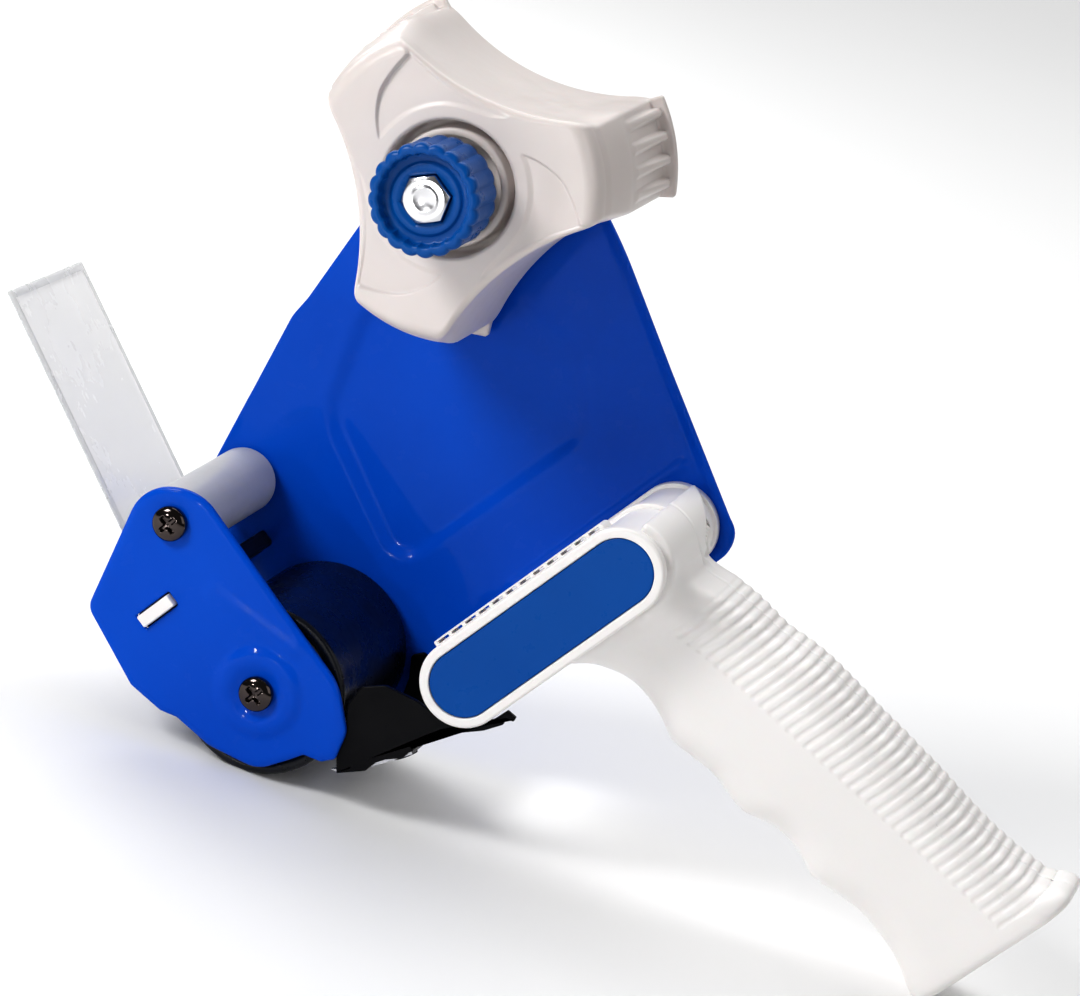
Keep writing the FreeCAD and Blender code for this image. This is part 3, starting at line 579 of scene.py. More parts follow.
def front_plate():
    corners = [(-22.1, 38.9, 4.0), (7.4, 53.8, 10.6), (17.6, 44.5, 12.0), (17.1, 12.0, 60.0),
               (17.2, -9.0, 14.0), (11.9, -19.1, 5.0), (5.6, -22.6, 1.0), (2.4, -21.2, 1.2),
               (0.0, -17.6, 1.6)]
    outline = rounded(corners + nose(), 0.8)
    crease = np.array([(5.7, 24.4), (13.1, 3.3)])

    def lift(p):
        r = np.linalg.norm(p, axis=1)
        rim = 0.75 * ease((11.6 - r) / 3.2)
        dish = 0.55 * ease((7.4 - r) / 3.0)
        edge = 0.35 * ease((1.3 - distance_to(p, outline)) / 1.3)
        fold = 0.40 * ease(1.0 - distance_to(p, crease, False) / 3.4)
        return dish - rim + edge - fold

    sheet_metal("front_side_plate_pressed", outline, [slot_hole()], lift, PLATE_T / 2, PLATE_T, 0.45, 0.8,
                body="root", slot="blue_paint", material=PAINT, stands_for=["front_side_plate"])


# ---------------------------------------------------------------- screws, bolt and nut
def pan_screw(node, x, z, face, far):
    """A domed head with a cross recess, on a plate's outside."""
    out = 1.0 if far else -1.0
    head_r, head_h, shank_r, cross_reach = 4.1, 2.8, 2.0, 2.35
    radii = np.concatenate([np.linspace(0.0, 3.4, 22), [3.65, 3.85, 3.99, 4.07, head_r]])
    angles = full_turn(96)
    rr, aa = np.meshgrid(radii, angles, indexing="ij")
    dome = head_h * (0.42 + 0.58 * np.sqrt(np.clip(1 - (rr / head_r) ** 2.4, 0, 1)))
    dome[-1] = head_h * 0.34
    px, pz = np.abs(rr * np.cos(aa)), np.abs(rr * np.sin(aa))
    bar, reach = np.minimum(px, pz), np.maximum(px, pz)
    cross = ease((0.62 - bar) / 0.32) * ease((cross_reach - reach) / 0.35)
    centre = ease((1.15 - rr) / 0.5)
    depth = 1.5 * np.maximum(cross, centre) * (1 - 0.35 * reach / cross_reach)
    rows, ring = rings_about(x, z, angles)
    for r, level in zip(radii, dome - depth):
        ring(r, face + out * level)
    for r, y in ((4.0, 0.06), (3.9, 0.0), (shank_r, 0.0), (shank_r, -8.5), (1.4, -9.0), (0.0, -9.0)):
        ring(r, face + out * y)
    piece(f"{node}_head", *skin(rows), "root", "dark_chrome", DARK_CHROME, [node])


def screws():
    for node, x, z, face, far in (
        ("roller_screw_near", 0.0, 0.0, -0.15, False),
        ("roller_screw_far", 0.0, 0.0, BACK, True),
        ("guide_screw_near", GUIDE_X, GUIDE_Z, 0.0, False),
        ("guide_screw_far", GUIDE_X, GUIDE_Z, BACK, True),
        ("head_screw_front", HEAD_X[0], HEAD_Z, BACK, True),
        ("head_screw_rear", HEAD_X[1], HEAD_Z, BACK, True),
    ):
        pan_screw(node, x, z, face, far)


def hex_radius(flats, angle):
    """A hexagon's radius at an angle, from its width across the flats."""
    return flats / 2 / np.cos((angle + math.pi / 6) % (math.pi / 3) - math.pi / 6)


def tension_bolt():
    seat, head_h, flats, face_r = -10.5, 4.0, 10.0, 4.75
    shank_r, crest, groove, thread_start, thread_end = 2.95, 2.93, 2.62, 45.0, 60.5
    angles = full_turn(144)
    hexa = hex_radius(flats, angles)
    rows, ring = rings_about(HUB_X, HUB_Z, angles)
    top = seat - head_h
    for r, down in ((0.0, 0.1), (2.2, 0.1), (2.5, -0.02), (2.8, -0.02), (3.1, 0.12), (3.6, 0.12),
                    (4.1, 0.12), (4.55, 0.12), (face_r, 0.16)):
        ring(r, top + down)
    for t in (0.2, 0.4, 0.6, 0.8, 1.0):
        past = (hexa - face_r) * t
        ring(face_r + past, top + 0.16 + past * 0.62)
    for r, y in ((hexa, top + 1.6), (hexa, seat - 0.1), (hexa - 0.1, seat), (shank_r, seat),
                 (shank_r, thread_start)):
        ring(r, y)
    for k in range(59):
        ring(crest if k % 4 < 2 else groove, thread_start + 0.3 + k * 0.25)
    for r, y in ((2.4, thread_end - 0.2), (2.0, thread_end), (0.0, thread_end)):
        ring(r, y)
    piece("tension_bolt_turned", *skin(rows), "knob", "bright_steel", BRIGHT, ["tension_bolt"])


def weld_nut():
    r, height = 10.0 / math.sqrt(3), 5.0
    corners = [math.radians(30.0 + 60 * k) for k in range(6)]
    outer = rounded([(HUB_X + r * math.cos(a), HUB_Z + r * math.sin(a), 0.5) for a in corners], 0.8)
    nut = prism(outer, BACK + 0.02, BACK + height, 0.5)
    piece("weld_nut_solid", *nut, "root", "steel", STEEL, ["weld_nut"])


def tension_spring():
    """A wire coil between its two washers, baked in place."""
    wire, coil, low, high, turns = 0.7, 5.6, 0.45, 9.8, 4.5
    t, around = np.linspace(0, 1, 163), full_turn(16)
    angle = 2 * math.pi * turns * t
    reach = coil + wire * np.cos(around)[None]
    y = (low + wire + (high - low - 2 * wire) * t)[:, None] + wire * np.sin(around)[None]
    rows = np.stack([HUB_X + reach * np.cos(angle)[:, None], y, HUB_Z + reach * np.sin(angle)[:, None]], 2)
    obj = piece("tension_spring_wire", *closed(rows), "spring_seat", "steel", STEEL, ["tension_spring"],
                weighted=False)
    obj.parent = None
    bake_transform(obj)


# ---------------------------------------------------------------- rollers
def rollers():
    y0, y1 = ROLLER_Y
    tyre = [(CORE_R, y0, 0), (ROLLER_R, y0, 1.0), (ROLLER_R, y1, 1.0), (CORE_R, y1, 0)]
    lathe("roller_tyre_rubber", tyre, ring_of(0, 0, 160), step=2.0,
          body="application_roller", slot="black_rubber", material=RUBBER, stands_for=["roller_tyre"])
    bore = 6.2
    tube = [(bore, y0, 0.3), (GUIDE_R, y0, 0.8), (GUIDE_R, y1, 0.8), (bore, y1, 0.3)]
    lathe("guide_tube_moulded", tube, ring_of(GUIDE_X, GUIDE_Z, 128), step=2.0,
          body="guide_roller", slot="grey_plastic", material=GREY, stands_for=["guide_tube"])


# ---------------------------------------------------------------- hub
def arm_reach(angle, tip, waist, half=18.0, soft=4.0):
    """Radius of the three-armed outline at an angle: arcs at the tips, hollow arcs between them."""
    to_waist = np.radians((np.degrees(angle) - ARMS[0]) % 120.0 - 60.0)
    corner = math.radians(60.0 - half)
    far = (tip**2 - waist**2) / (2 * (tip * math.cos(corner) - waist))
    bend = far - waist
    inside = np.clip(bend**2 - (far * np.sin(to_waist)) ** 2, 0, None)
    hollow = far * np.cos(to_waist) - np.sqrt(inside)
    hollow = np.where(inside > 0, hollow, 1e3)
    blend = np.clip(0.5 + 0.5 * (hollow - tip) / soft, 0, 1)
    return hollow * (1 - blend) + tip * blend - soft * blend * (1 - blend)


# Angle from an arm, and radius: a crease that runs out to the arm's corner, and a ridge that winds
# round the recess and out to the next hollow.  The face is lower between the two.
CREASE = (
    (-95, -34, -21, -11.6, -1.4, 7.2, 14, 17.5, 26),
    (60, 36, 31.0, 28.6, 26.1, 23.1, 20.6, 19.3, 16.5),
)
RIDGE = (
    (-115, -87, -80, -77, -71, -62, -50, -33, 0, 17.4, 26),
    (44, 26.5, 22.4, 21.2, 19.6, 18.7, 18.5, 18.7, 18.7, 18.8, 19),
)


def swirl(radius, angle):
    """Depth of the three curved steps pressed into the hub's near face, shaped like a turbine."""
    depth = np.zeros_like(radius)
    for arm in ARMS:
        turn = (np.degrees(angle) - arm + 220.0) % 360.0 - 220.0
        crease = ease((through(*CREASE, turn) - radius) / 0.55 + 0.5)
        ridge = ease((radius - through(*RIDGE, turn)) / 1.5 + 0.35)
        reach = ease((turn + 112) / 12) * ease((24 - turn) / 8)
        deep = 0.5 + 0.65 * ease((radius - 19.0) / 9.0)
        depth = np.maximum(depth, deep * crease * ridge * reach)
    return depth


def tape_hub():
    y0, y1, wall, waist = 2.5, 48.0, 2.2, 21.8
    near_tip, far_tip, flange_r = 35.0, 37.9, 40.9
    hole, lip, spindle = 15.3, 0.9, 5.06
    angles = full_turn(540)
    rows, ring = rings_about(HUB_X, HUB_Z, angles)

    def tip(y):
        return near_tip + (far_tip - near_tip) * ease((y - y0) / 20.0)

    to_arm = (np.degrees(angles) - ARMS[0] + 60.0) % 120.0 - 60.0
    face = y0 + 0.1
    for a in np.radians(np.linspace(0, 90, 6)):
        ring(hole + lip * (1 - math.cos(a)), face + lip * (1 - math.sin(a)))
    # the near face and its rounded edge
    at_tip = ease((21.0 - np.abs(to_arm)) / 5.0)
    edge, drop = 2.2 + 1.6 * at_tip, 2.4 + 2.6 * at_tip
    base = arm_reach(angles, tip(y0), waist, 19.0)
    start = hole + lip
    for t in np.linspace(0, 1, 76)[1:]:
        radius = start + (base - edge - start) * t
        ring(radius, face + swirl(radius, angles))
    for a in np.radians(np.linspace(0, 90, 11))[1:]:
        step = swirl(base - edge, angles) * (1 - math.sin(a))
        ring(base - edge + edge * np.sin(a), face + drop * (1 - math.cos(a)) + step)
    # the outside, with four wedges on each tip and a seam across it
    bars = sum(ease((1.75 - np.abs(to_arm - at)) / 0.55) for at in (-12.0, -4.0, 4.0, 12.0))
    on_tip = ease((17.5 - np.abs(to_arm)) / 1.5)
    for y in np.concatenate([np.linspace(y0 + 6.0, 20.0, 12), np.linspace(20.6, y1 - 2.6, 28)]):
        seam = -0.22 * math.exp(-(((y - 20.3) / 0.35) ** 2))
        wedge = bars * (0.35 + 1.5 * ease((y - 22.0) / 24.0)) * ease((y - 21.6) / 0.9)
        ring(arm_reach(angles, tip(y), waist) + on_tip * (wedge + seam), y)
    radius = arm_reach(angles, far_tip, waist)
    stop = (flange_r - far_tip) * ease((17.4 - np.abs(to_arm)) / 0.9)
    for reach, up in ((0.25, 2.3), (0.8, 2.2), (1.0, 1.8), (1.0, 0.5), (0.85, 0.12), (0.7, 0.0)):
        ring(radius + stop * reach, y1 - up)
    # the hollow inside, the tube round the recess, and the bore
    inner = np.minimum(arm_reach(angles, far_tip - 2 * wall, waist - wall, 15.0, 1.0), radius - wall * 0.9)
    tube = np.minimum(hole + 2.0, inner - 0.9)
    floor = y0 + 4.0
    for r, y in ((inner + 0.3, y1), (inner, y1 - 0.3), (inner, 27.0), (inner, floor),
                 (inner - 0.6, floor - 0.6), (tube + 0.3, floor - 0.6), (tube, floor), (tube, y1 - 0.3),
                 (tube - 0.3, y1), (hole + 0.3, y1), (hole, y1 - 0.3), (hole, 14.0), (hole - 0.5, 13.5),
                 (9.5, 13.5), (9.0, 14.0), (9.0, y1 - 0.3), (8.7, y1), (5.4, y1), (spindle, y1 - 0.3),
                 (spindle, 11.2), (5.3, 11.0), (11.4, 11.0), (11.6, 10.8), (11.6, 4.9), (12.0, 4.5),
                 (13.0, 4.5), (13.4, 4.9), (13.4, 10.6), (13.8, 11.0), (14.8, 11.0), (hole, 10.5)):
        ring(r, y)
    piece("tape_hub_moulded", *skin(rows, wrap_rows=True), "hub", "white_plastic", HUB_WHITE, ["tape_hub"],
          weighted=False)
    webs = []
    for arm in np.radians(ARMS):
        way = np.array([math.cos(arm), math.sin(arm)])
        across = np.array([-way[1], way[0]])
        root, end = (np.array([HUB_X, HUB_Z]) + way * r for r in (17.1, 34.2))
        loop = [root - across, end - across, end + across, root + across]
        webs.append(prism(rounded([(x, z, 0) for x, z in loop], 8.0), y0 + 3.2, y1 - 2.0, 0.25))
    piece("tape_hub_webs", *joined(webs), "hub", "white_plastic", HUB_WHITE)


def tension_knob():
    lobes, full, core, recess = 20, 12.7, 10.6, 10.5

    def radius(r, y, angle):
        wave = 0.72 * (1 - np.abs(np.cos(angle * lobes / 2))) ** 1.3
        if r > 11.3:
            strength = 1.0 - 0.35 * float(ease(np.array((y + 11.0) / 6.0)))
            return r - wave * strength * (r - core) / (full - core)
        if r > 9.9:
            return r - wave * 0.45
        if 4.9 < r < 5.6 and y < -9.0:
            return hex_radius(recess, angle) + (r - recess / 2)
        return np.full(angle.shape, float(r))

    profile = [(3.05, -10.5), (5.25, -10.5), (5.25, -12.6), (5.35, -12.95), (6.9, -13.1), (7.6, -13.1),
               (7.9, -13.0), (8.15, -12.7), (8.5, -12.6), (9.2, -12.6), (9.7, -12.65), (10.0, -12.85),
               (10.2, -13.4), (10.25, -14.4), (10.3, -15.3), (10.5, -15.65), (10.9, -15.8), (11.5, -15.78),
               (12.1, -15.6), (12.5, -15.2), (12.7, -14.6), (12.7, -13.6), (12.6, -12.9), (12.45, -12.4),
               (12.45, -8.0), (12.5, -4.0), (12.55, -1.8), (12.3, -1.2), (11.9, -0.9), (10.6, -0.9),
               (10.4, -1.1), (10.4, -6.5), (6.4, -6.5), (6.2, -1.1), (6.0, -0.9), (3.3, -0.9), (3.05, -1.1)]
    turned = swept(profile, ring_of(HUB_X, HUB_Z, 480), radius)
    piece("tension_knob_moulded", *turned, "knob", "blue_plastic", BLUE, ["tension_knob"])


# ---------------------------------------------------------------- handle head
def head_spine():
    return slot_of(*HEAD_X, HEAD_Z, 40, 40)


def handle_head():
    near, far, cap_at = RING_Y, FAR_IN, RING_Y + 1.6
    corners = [(CAP_R, cap_at, 0.1), (CAP_R, near, 0.3), (RING_R, near, 0.75), (RING_R, 1.7, 0.5),
               (BODY_R, 1.9, 0.2), (BODY_R, MID_Y - 1.2, 0.2), (RING_R, MID_Y - 1.1, 0.4),
               (RING_R, MID_Y + 1.1, 0.4), (BODY_R, MID_Y + 1.2, 0.2), (BODY_R, far - 2.9, 0.2),
               (RING_R, far - 2.8, 0.4), (RING_R, far, 0.4), (0.0, far, 0.0), (0.0, cap_at, 0.0)]
    lathe("handle_head_moulded", corners, head_spine(), step=3.0,
          body="root", slot="white_plastic", material=WHITE, stands_for=["handle_head"])


def head_comb():
    """The strip with small slots along the head's top."""
    x0, x1, low, high = 41.6, 90.8, -16.4, -14.0
    slots, bar = 12, 1.0
    pitch = (x1 - x0 - bar) / slots
    strip = rounded([(x0, low, 0.0), (x1, low, 0.8), (x1, high, 1.0), (x0, high, 0.4)], 2.0)
    holes = []
    for k in range(slots):
        start = x0 + bar + k * pitch
        holes.append(box_outline(start, start + pitch - bar, -15.0, -14.4, 0.15, 1.5))
    sheet_metal("handle_head_comb", strip, holes, lambda p: np.zeros(len(p)), 4.4, 5.0, 0.12, 2.0,
                body="root", slot="white_plastic", material=WHITE)


def head_inlay():
    edge, face, back = CAP_R - 0.15, RING_Y + 0.3, RING_Y + 1.58
    cap = [(edge, back, 0.0), (edge, face, 0.35), (0.0, face, 0.0), (0.0, back, 0.0)]
    inlay = swept(rounded(cap, 1.2), head_spine())
    piece("handle_head_inlay", *inlay, "root", "blue_plastic", INLAY, ["handle_head_cap"])


# ---------------------------------------------------------------- grip
# Down the grip, from its end up to the head: height, front edge, back edge, half width across.
GRIP = np.array([
    (-145.0, 78.2, 123.3, 14.9), (-140.2, 78.5, 121.6, 14.8), (-137.5, 79.2, 118.9, 14.6),
    (-132.4, 80.3, 116.9, 14.3), (-125.9, 80.5, 115.1, 14.1), (-119.1, 79.7, 113.8, 13.9),
    (-112.5, 77.3, 112.9, 13.8), (-107.0, 75.4, 112.3, 13.7), (-102.0, 76.0, 111.6, 13.7),
    (-97.5, 76.1, 110.9, 13.7), (-92.0, 74.6, 110.0, 13.8), (-86.2, 71.2, 108.9, 13.9),
    (-80.0, 70.7, 108.1, 13.9), (-75.5, 70.6, 107.4, 13.9), (-69.3, 68.8, 106.3, 13.9),
    (-63.6, 67.3, 104.6, 14.0), (-58.5, 68.4, 102.6, 14.2), (-52.0, 69.0, 101.2, 14.9),
    (-46.7, 68.5, 99.8, 16.4), (-42.0, 66.7, 98.3, 18.6), (-38.6, 64.3, 96.8, 20.2),
    (-36.0, 60.8, 96.0, 21.0), (-33.0, 57.0, 96.0, 21.2),
])
GRIP_END, GRIP_TOP = -144.1, -34.65
FAR_HALF = 15.5
RIB_PITCH, RIB_DEPTH, RIB_LOW, RIB_HIGH = 2.6, 0.85, -139.8, -42.4
SADDLE_HALF, SADDLE_FROM, SADDLE_TO = 22.6, -100.0, 31.0


def grip_section(z):
    """Front edge, back edge and half width at a height."""
    return (through(GRIP[:, 0], GRIP[:, k], z) for k in (1, 2, 3))


def smooth_min(a, b, soft):
    h = np.clip(0.5 + 0.5 * (b - a) / soft, 0, 1)
    return b * (1 - h) + a * h - soft * h * (1 - h)


def slot_distance(x, z):
    """Distance from the middle line of the handle head."""
    return np.hypot(x - np.clip(x, *HEAD_X), z - HEAD_Z)


def rib_mask(x, z):
    """Where the ribs are: behind a line that leans with the grip's back."""
    ends = 86.2 + 0.2175 * (-42.7 - z)
    return ease((x - ends) / 1.1) * ease(z - RIB_LOW) * ease(RIB_HIGH - z)


def grip_field(p):
    """Roughly the distance from the grip's surface, negative inside, with its ribs and its saddle."""
    x, y, z = p[:, 0], p[:, 1], p[:, 2]
    across = np.abs(y - MID_Y)
    front, back, half = grip_section(z)
    middle, reach = (front + back) / 2, (back - front) / 2
    half = np.where(y > MID_Y, np.minimum(half, FAR_HALF), half)
    soft = np.where(x < middle, 10.8, 9.0)
    qx, qy = np.abs(x - middle) - (reach - soft), across - (half - soft)
    body = np.hypot(np.maximum(qx, 0), np.maximum(qy, 0)) + np.minimum(np.maximum(qx, qy), 0) - soft
    frac = np.mod((z - RIB_HIGH) / RIB_PITCH, 1.0) * 2 - 1
    body = body + RIB_DEPTH * (1 - np.sqrt(1 - 0.98 * frac**2)) * rib_mask(x, z)
    body = -smooth_min(-body, z - GRIP_END, 2.6)
    body = np.maximum(body, z - GRIP_TOP)

    # the saddle wraps the head's rear end, and is narrower on its far side
    dx, dz = x - HEAD_X[1], z - HEAD_Z
    radius, angle = np.hypot(dx, dz), np.degrees(np.arctan2(dz, dx))
    far_edge = np.minimum(44.0 + 0.26 * (angle - 11.0), 48.6)
    spread = np.maximum(angle - SADDLE_TO, SADDLE_FROM - angle) * radius * math.pi / 180
    saddle = np.abs(radius - (BODY_R + 0.1)) - 2.0
    for room in (SADDLE_HALF - across, far_edge - y, -spread):
        saddle = -smooth_min(-saddle, room, 1.2)

    # room for the head and its middle ring, and a fine seam along the middle
    whole = np.maximum(smooth_min(body, saddle, 4.5), BODY_R + 0.03 - slot_distance(x, z))
    ring = np.maximum(slot_distance(x, z) - RING_R - 0.05, across - 1.2)
    return np.maximum(whole, -ring) + 0.30 * np.exp(-((across / 0.34) ** 2))


def settle(points, field, rounds):
    """Moves points on to the surface where a field is zero."""
    eps = 0.02
    for _ in range(rounds):
        value = field(points)
        slope = np.stack([field(points + step) - value for step in np.eye(3) * eps], 1) / eps
        size = np.maximum(np.einsum("ij,ij->i", slope, slope), 0.25)
        points = points - slope * np.clip(value / size, -0.8, 0.8)[:, None]
    return points


def remeshed(verts, faces, voxel):
    """The outer skin of overlapping closed meshes, as even quads."""
    mesh = mesh_of("rough", verts, faces)
    obj = added("rough", mesh)
    modifier = obj.modifiers.new("Skin", "REMESH")
    modifier.mode = "VOXEL"
    modifier.voxel_size = voxel
    skin = bpy.data.meshes.new_from_object(obj.evaluated_get(bpy.context.evaluated_depsgraph_get()))
    bpy.data.objects.remove(obj)
    bpy.data.meshes.remove(mesh)
    return skin


def grip_blank():
    """Overlapping solids near the grip's surface, for remeshed() to start from."""
    rows = []
    for z in np.linspace(GRIP_END, GRIP_TOP, 60):
        front, back, half = (float(side) for side in grip_section(z))
        loop = box_outline(front, back, MID_Y - half, MID_Y + half, 9, 50.0, 15.0)
        rows.append(np.stack([loop[:, 0], loop[:, 1], np.full(len(loop), z)], 1))
    outside = arc(HEAD_X[1], HEAD_Z, BODY_R + 2.0, SADDLE_FROM, SADDLE_TO, 40)
    inside = arc(HEAD_X[1], HEAD_Z, BODY_R - 1.5, SADDLE_TO, SADDLE_FROM, 40)
    saddle = prism(np.concatenate([outside, inside]), MID_Y - SADDLE_HALF, MID_Y + SADDLE_HALF, 0.3)
    return joined([closed(rows), saddle])


def grip_skin():
    """The whole grip as one skin, with finer faces where the ribs are."""
    skin = remeshed(*grip_blank(), 0.55)
    bm = bmesh.new()
    bm.from_mesh(skin)
    for rounds, cuts in ((3, 1), (5, 0)):
        bm.verts.ensure_lookup_table()
        points = settle(np.array([v.co for v in bm.verts]), grip_field, rounds)
        for v, p in zip(bm.verts, points):
            v.co = p
        if cuts:
            fine = rib_mask(points[:, 0] + 0.8, points[:, 2]) > 0.02
            chosen = [e for e in bm.edges if fine[e.verts[0].index] and fine[e.verts[1].index]]
            bmesh.ops.subdivide_edges(bm, edges=chosen, cuts=cuts, use_grid_fill=True)
    bm.to_mesh(skin)
    bm.free()
    return skin


def grip_shells():
    skin = grip_skin()
    for side, node in ((-1, "handle_shell_near"), (1, "handle_shell_far")):
        half = bmesh.new()
        half.from_mesh(skin)
        cut = bmesh.ops.bisect_plane(
            half, geom=half.verts[:] + half.edges[:] + half.faces[:], plane_co=(0, MID_Y, 0),
            plane_no=(0, -side, 0), clear_outer=True)
        rim = [e for e in cut["geom_cut"] if isinstance(e, bmesh.types.BMEdge)]
        bmesh.ops.holes_fill(half, edges=rim)
        mesh = bpy.data.meshes.new(node)
        half.to_mesh(mesh)
        half.free()
        finish_piece(mesh, f"{node}_moulded", "root", "white_plastic", WHITE, [node], weighted=False)


# ---------------------------------------------------------------- flap
def along_flap(u, v):
    """A layout point u across the flap's thickness and v up its length."""
    s, c = math.sin(FLAP_LEAN), math.cos(FLAP_LEAN)
    return SLOT_X + u * c + v * s, SLOT_Z + 2.75 - u * s + v * c


def flap_sheet():
    """A milky sheet with a clearer border, baked in place."""
    length, y0, y1, thick, border, bow_depth, bend_end = 77.5, 2.9, 47.5, 0.55, 2.3, 0.35, 38.0
    ys = np.concatenate([
        np.linspace(y0, y0 + 3.4, 9), np.linspace(y0 + 5, y1 - 5, 14), np.linspace(y1 - 3.4, y1, 9)])
    vs = np.concatenate([np.linspace(0, length - 5, 60), np.linspace(length - 3.6, length, 10)])
    yy, vv = np.meshgrid(ys, vs, indexing="ij")
    edge = np.minimum(np.minimum(yy - y0, y1 - yy), length - vv)
    band = ease((border - edge) / 0.7 + 0.5)
    half = (thick / 2) * (0.82 + 0.5 * band) * (1 - 0.75 * ease((0.5 - edge) / 0.5))
    bow = bow_depth * np.sin(math.pi * (yy - y0) / (y1 - y0)) * (vv / length)
    rows, cols = yy.shape
    total = rows * cols
    verts, faces = [], []
    for side, start in ((-1, 0), (1, total)):
        x, z = along_flap(side * half - bow, vv)
        verts.append(np.stack([x, yy, z], 2).reshape(-1, 3))
        faces += grid_faces(rows, cols, wrap_cols=False, start=start)
    index = np.arange(total).reshape(rows, cols)
    loop = np.concatenate([index[0], index[1:, -1], index[-1, -2::-1], index[-2:0:-1, 0]]).tolist()
    faces += [(a, b, b + total, a + total) for a, b in zip(loop, loop[1:] + loop[:1])]
    obj = piece("flap_sheet_film", np.concatenate(verts), faces, "flap", "flap_film", FILM, ["flap_sheet"],
                weighted=False)
    obj.data.materials.append(CLEAR_FILM)
    inset = edge.reshape(-1)
    for face in obj.data.polygons:
        face.material_index = int(min(inset[k % total] for k in face.vertices) < border - 0.4)
    obj.parent = None
    (x0, z0), (x1, z1) = along_flap(0, 0), along_flap(0, bend_end)
    placed(x0, MID_Y, z0)
    placed(x1, MID_Y, z1)
    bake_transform(obj)


def flap_base():
    """Pale lugs in the plates' slots, and a bar between the plates coloured near-black as painted shade."""
    w, h, out = 4.7, 1.5, 1.2
    lug = box_outline(SLOT_X - w, SLOT_X + w, SLOT_Z - h, SLOT_Z + h, 0.4)
    lugs = prism(lug, -out, BACK + out, 0.35)
    piece("flap_base_moulded", *lugs, "root", "white_plastic", WHITE, ["flap_base_bar"])
    # The bar's near-black colour is painted shade for the dark gap between the plates, not the plastic's
    # own colour.
    bar = box_outline(SLOT_X - 5.6, 3.6, SLOT_Z - 2.0, SLOT_Z + 2.0, 0.8)
    piece("flap_base_pad_painted_shade", *prism(bar, 1.9, FAR_IN - 0.3, 0.5), "root", "core_plastic", PAINTED_SHADE_PAD)


# ---------------------------------------------------------------- cutter
def leaned(points):
    """Cutter points, drawn flat, turned down towards the handle."""
    s, c = math.sin(BLADE_LEAN), math.cos(BLADE_LEAN)
    out = np.array(points, float)
    out[:, 0] = 7.0 + points[:, 0] * c + points[:, 2] * s
    out[:, 2] = -26.0 - points[:, 0] * s + points[:, 2] * c
    return out


def cross_member():
    """A folded plate under the blade, with an ear at each side plate and a hook below the head."""
    web = box_outline(0.0, 16.0, -WEB_HALF, WEB_HALF, 0.3, 2.0)
    front = [(4.8, 13.8, 1.0), (2.2, 8.6, 2.0), (-1.8, 4.2, 0.8)]
    far_ear = [(0.0, 0.0, 0.5), (10.5, 0.0, 0.5), (10.5, 8.0, 2.0), (8.0, 13.5, 1.0)] + front
    foot = [(-3.6, -0.5, 0.2), (3.3, -1.9, 1.2), (7.3, -0.4, 0.8), (12.9, -1.6, 1.5), (20.8, 1.8, 1.5),
            (24.6, 2.0, 1.5), (28.0, 0.2, 1.5)]
    hook = [(33.7, -0.9, 2.0), (38.6, -0.9, 0.6), (39.6, 0.3, 0.3), (41.2, -0.9, 0.2), (42.0, -0.2, 0.2),
            (40.7, 1.9, 0.3)]
    under_head = [(37.2, 0.95, 4.0), (33.7, 0.4, 8.0), (30.0, 1.0, 8.0), (26.5, 3.2, 6.0), (24.6, 5.0, 2.0),
                  (21.0, 10.0, 2.0), (15.0, 15.5, 2.0), (9.5, 16.8, 2.0)]
    verts, faces = joined([
        prism(web, PLATE_T, FAR_IN, 0.3),
        prism(rounded(foot + hook + under_head + front, 1.2), PLATE_T + 0.02, 2 * PLATE_T, 0.3),
        prism(rounded(far_ear, 1.5), FAR_IN - PLATE_T, FAR_IN - 0.02, 0.3),
    ])
    # Its black is partly the bracket's paint and partly painted shade: the near ear reaches back under the
    # roller and the head to fill the shaded gap with black.
    piece("cross_member_folded", leaned(verts), faces, "root", "black_paint", BLACK_PAINT_AND_SHADE, ["cross_member"])


def cutter_blade():
    pitch, deep, teeth, thick = 2.5, 2.0, 18, 0.8
    y0, y1, top, front = 2 * PLATE_T + 0.1, FAR_IN - 0.6, -WEB_HALF - 0.02, 5.2
    first = y0 + 0.9
    ys, tips = [y0], [0.0]
    for k in range(teeth):
        ys += [first + k * pitch, first + (k + 0.5) * pitch]
        tips += [0.0, deep]
    ys += [first + teeth * pitch, y1]
    tips += [0.0, 0.0]
    rows = []
    for y, tip in zip(ys, tips):
        lift = 1.4 * (front - tip) / front
        bend = [(tip - front, lift), (-2.6, 0.7), (-0.3, 0.05), (0.6, 0.0), (15.0, 0.0)]
        ring = [(x, y, top + up) for x, up in bend]
        ring += [(x, y, top - thick + up) for x, up in bend[:0:-1]]
        rows.append(np.array(ring + [(tip - front + 0.9, y, top - thick + lift)]))
    verts, faces = closed(rows)
    piece("cutter_blade_toothed", leaned(verts), faces, "root", "blade_steel", BLADE, ["cutter_blade"],
          smooth=False, weighted=False)


def paint_cad_nodes():
    """Materials for the nodes that keep their CAD mesh."""
    for material, nodes in (
        (STEEL, ("roller_axle", "guide_axle", "hub_sleeve", "thrust_washer", "tension_washer")),
        (STEEL, ("handle_shell_screws",)),
        (CORE, ("roller_core", "guide_bush_near", "guide_bush_far")),
        (BLACK_PAINT_AND_SHADE, ("blade_screws",)),
        (FELT, ("brake_disc",)),
    ):
        for node in nodes:
            mesh = frame["nodes"][node].data
            mesh.materials.clear()
            mesh.materials.append(material)


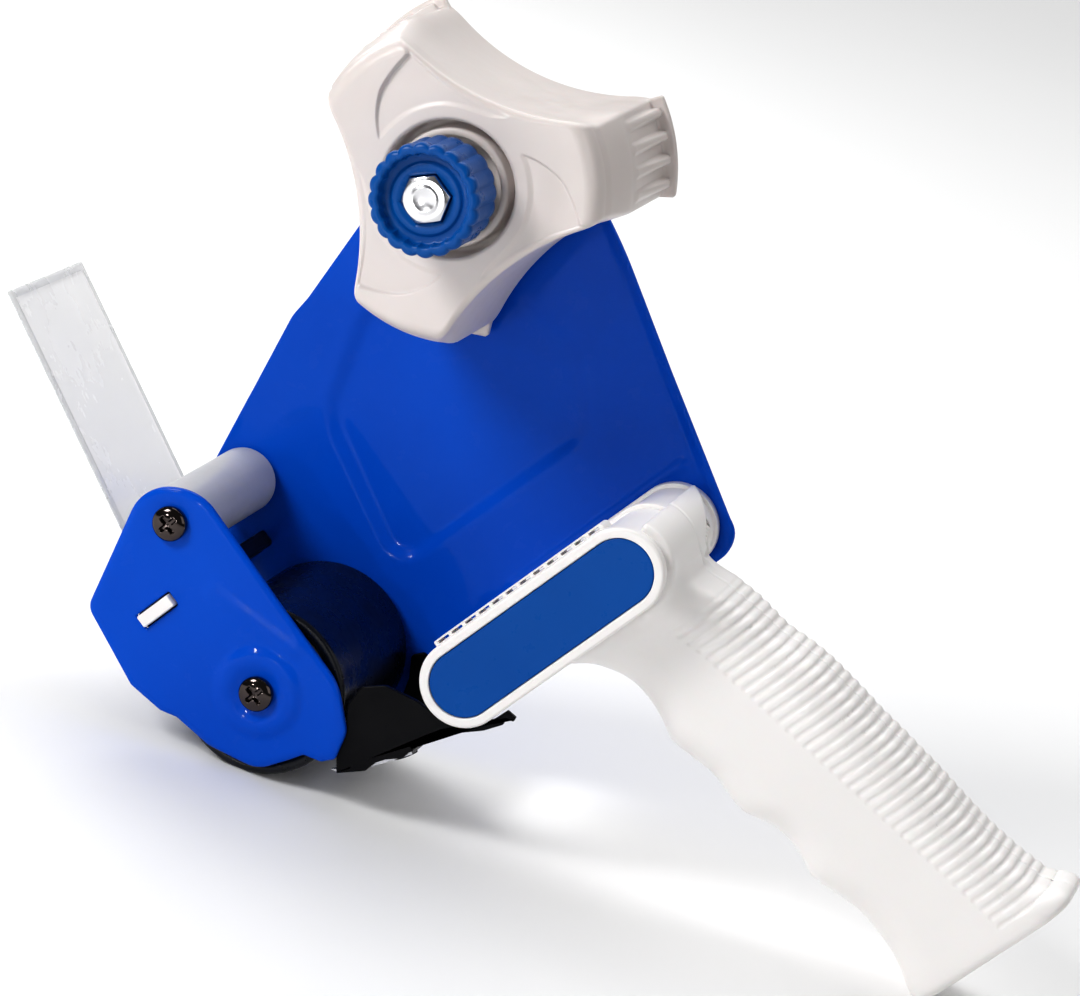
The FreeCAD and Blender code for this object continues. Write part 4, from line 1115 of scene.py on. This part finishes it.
# ---------------------------------------------------------------- floor, light and camera
def floor_and_world():
    size = 6.0
    corners = [(-size, -size, 0), (size, -size, 0), (size, size, 0), (-size, size, 0)]
    floor = mesh_of("floor", corners, [(0, 1, 2, 3)])
    plane = added("floor", floor)
    n = Nodes("floor_white", (0.92, 0.92, 0.92), 0.6)
    n.colours(n.noise(3, 2), (0.91, 0.91, 0.91), (0.93, 0.93, 0.93))
    floor.materials.append(n.material)
    world = bpy.data.worlds.new("studio")
    bpy.context.scene.world = world
    world.use_nodes = True
    background = world.node_tree.nodes["Background"]
    background.inputs["Color"].default_value = (1.0, 1.0, 1.0, 1.0)
    background.inputs["Strength"].default_value = 0.11


def area_light(name, size, power, location):
    light = bpy.data.lights.new(name, "AREA")
    light.energy = power
    light.size = size
    lamp = added(name, light)
    lamp.location = location
    lamp.visible_camera = False
    return lamp


def lights():
    """Soft lights along the main view's axes, two small ones for glints, and one for the backdrop."""
    view = bpy.context.scene.camera.matrix_world.to_3x3()
    target = placed(60.0, MID_Y, 10.0)
    for name, way, away, size, power in (
        ("key", (-0.55, 0.58, 0.60), 0.95, 0.30, 5.4),
        ("fill", (0.75, 0.10, 0.65), 1.20, 0.80, 2.2),
        ("top", (0.35, 0.93, -0.10), 1.10, 0.90, 5.0),
        ("rim", (-0.30, 0.75, -0.60), 1.10, 0.60, 3.0),
        ("spark", (-0.60, 0.10, 0.78), 0.95, 0.035, 0.4),
        ("glint", (-0.433, -0.173, 0.863), 0.98, 0.035, 0.5),
    ):
        lamp = area_light(name, size, power, target + view @ Vector(way).normalized() * away)
        lamp.rotation_euler = (target - lamp.location).to_track_quat("-Z", "Y").to_euler()
    behind = view @ Vector((0.25, 0.0, -1.0)) * 1.9
    area_light("backdrop", 2.4, 16.0, Vector((target.x + behind.x, target.y + behind.y, 1.1)))


def camera():
    """The main view.  The tool's layout is tipped in it, so the camera is rolled to match."""
    azimuth, elevation, tip = 16.11, 12.26, 37.6
    distance, lens = 0.981, 147.7
    aim = placed(83.3, 0.0, -1.7)
    turn = Matrix.Rotation(math.radians(tip) - TURN, 4, "Y")
    pose = (
        Matrix.Rotation(math.radians(azimuth), 4, "Z")
        @ Matrix.Rotation(math.radians(90.0 - elevation), 4, "X")
        @ Matrix.Translation((0, 0, distance))
    )
    data = bpy.data.cameras.new("camera")
    data.lens = lens
    data.sensor_width = 36.0
    data.clip_start = 0.05
    cam = added("camera", data)
    cam.matrix_world = Matrix.Translation(aim) @ turn @ pose
    bpy.context.scene.camera = cam


for build in (
    main_plate, front_plate, rollers, tape_hub, tension_knob, tension_bolt, tension_spring, weld_nut,
    handle_head, head_comb, head_inlay, screws, paint_cad_nodes, grip_shells, flap_sheet, flap_base,
    cross_member, cutter_blade, camera, floor_and_world, lights,
):
    build()
bpy.context.scene.view_settings.view_transform = "Standard"
bpy.context.scene.view_settings.look = "Medium High Contrast"
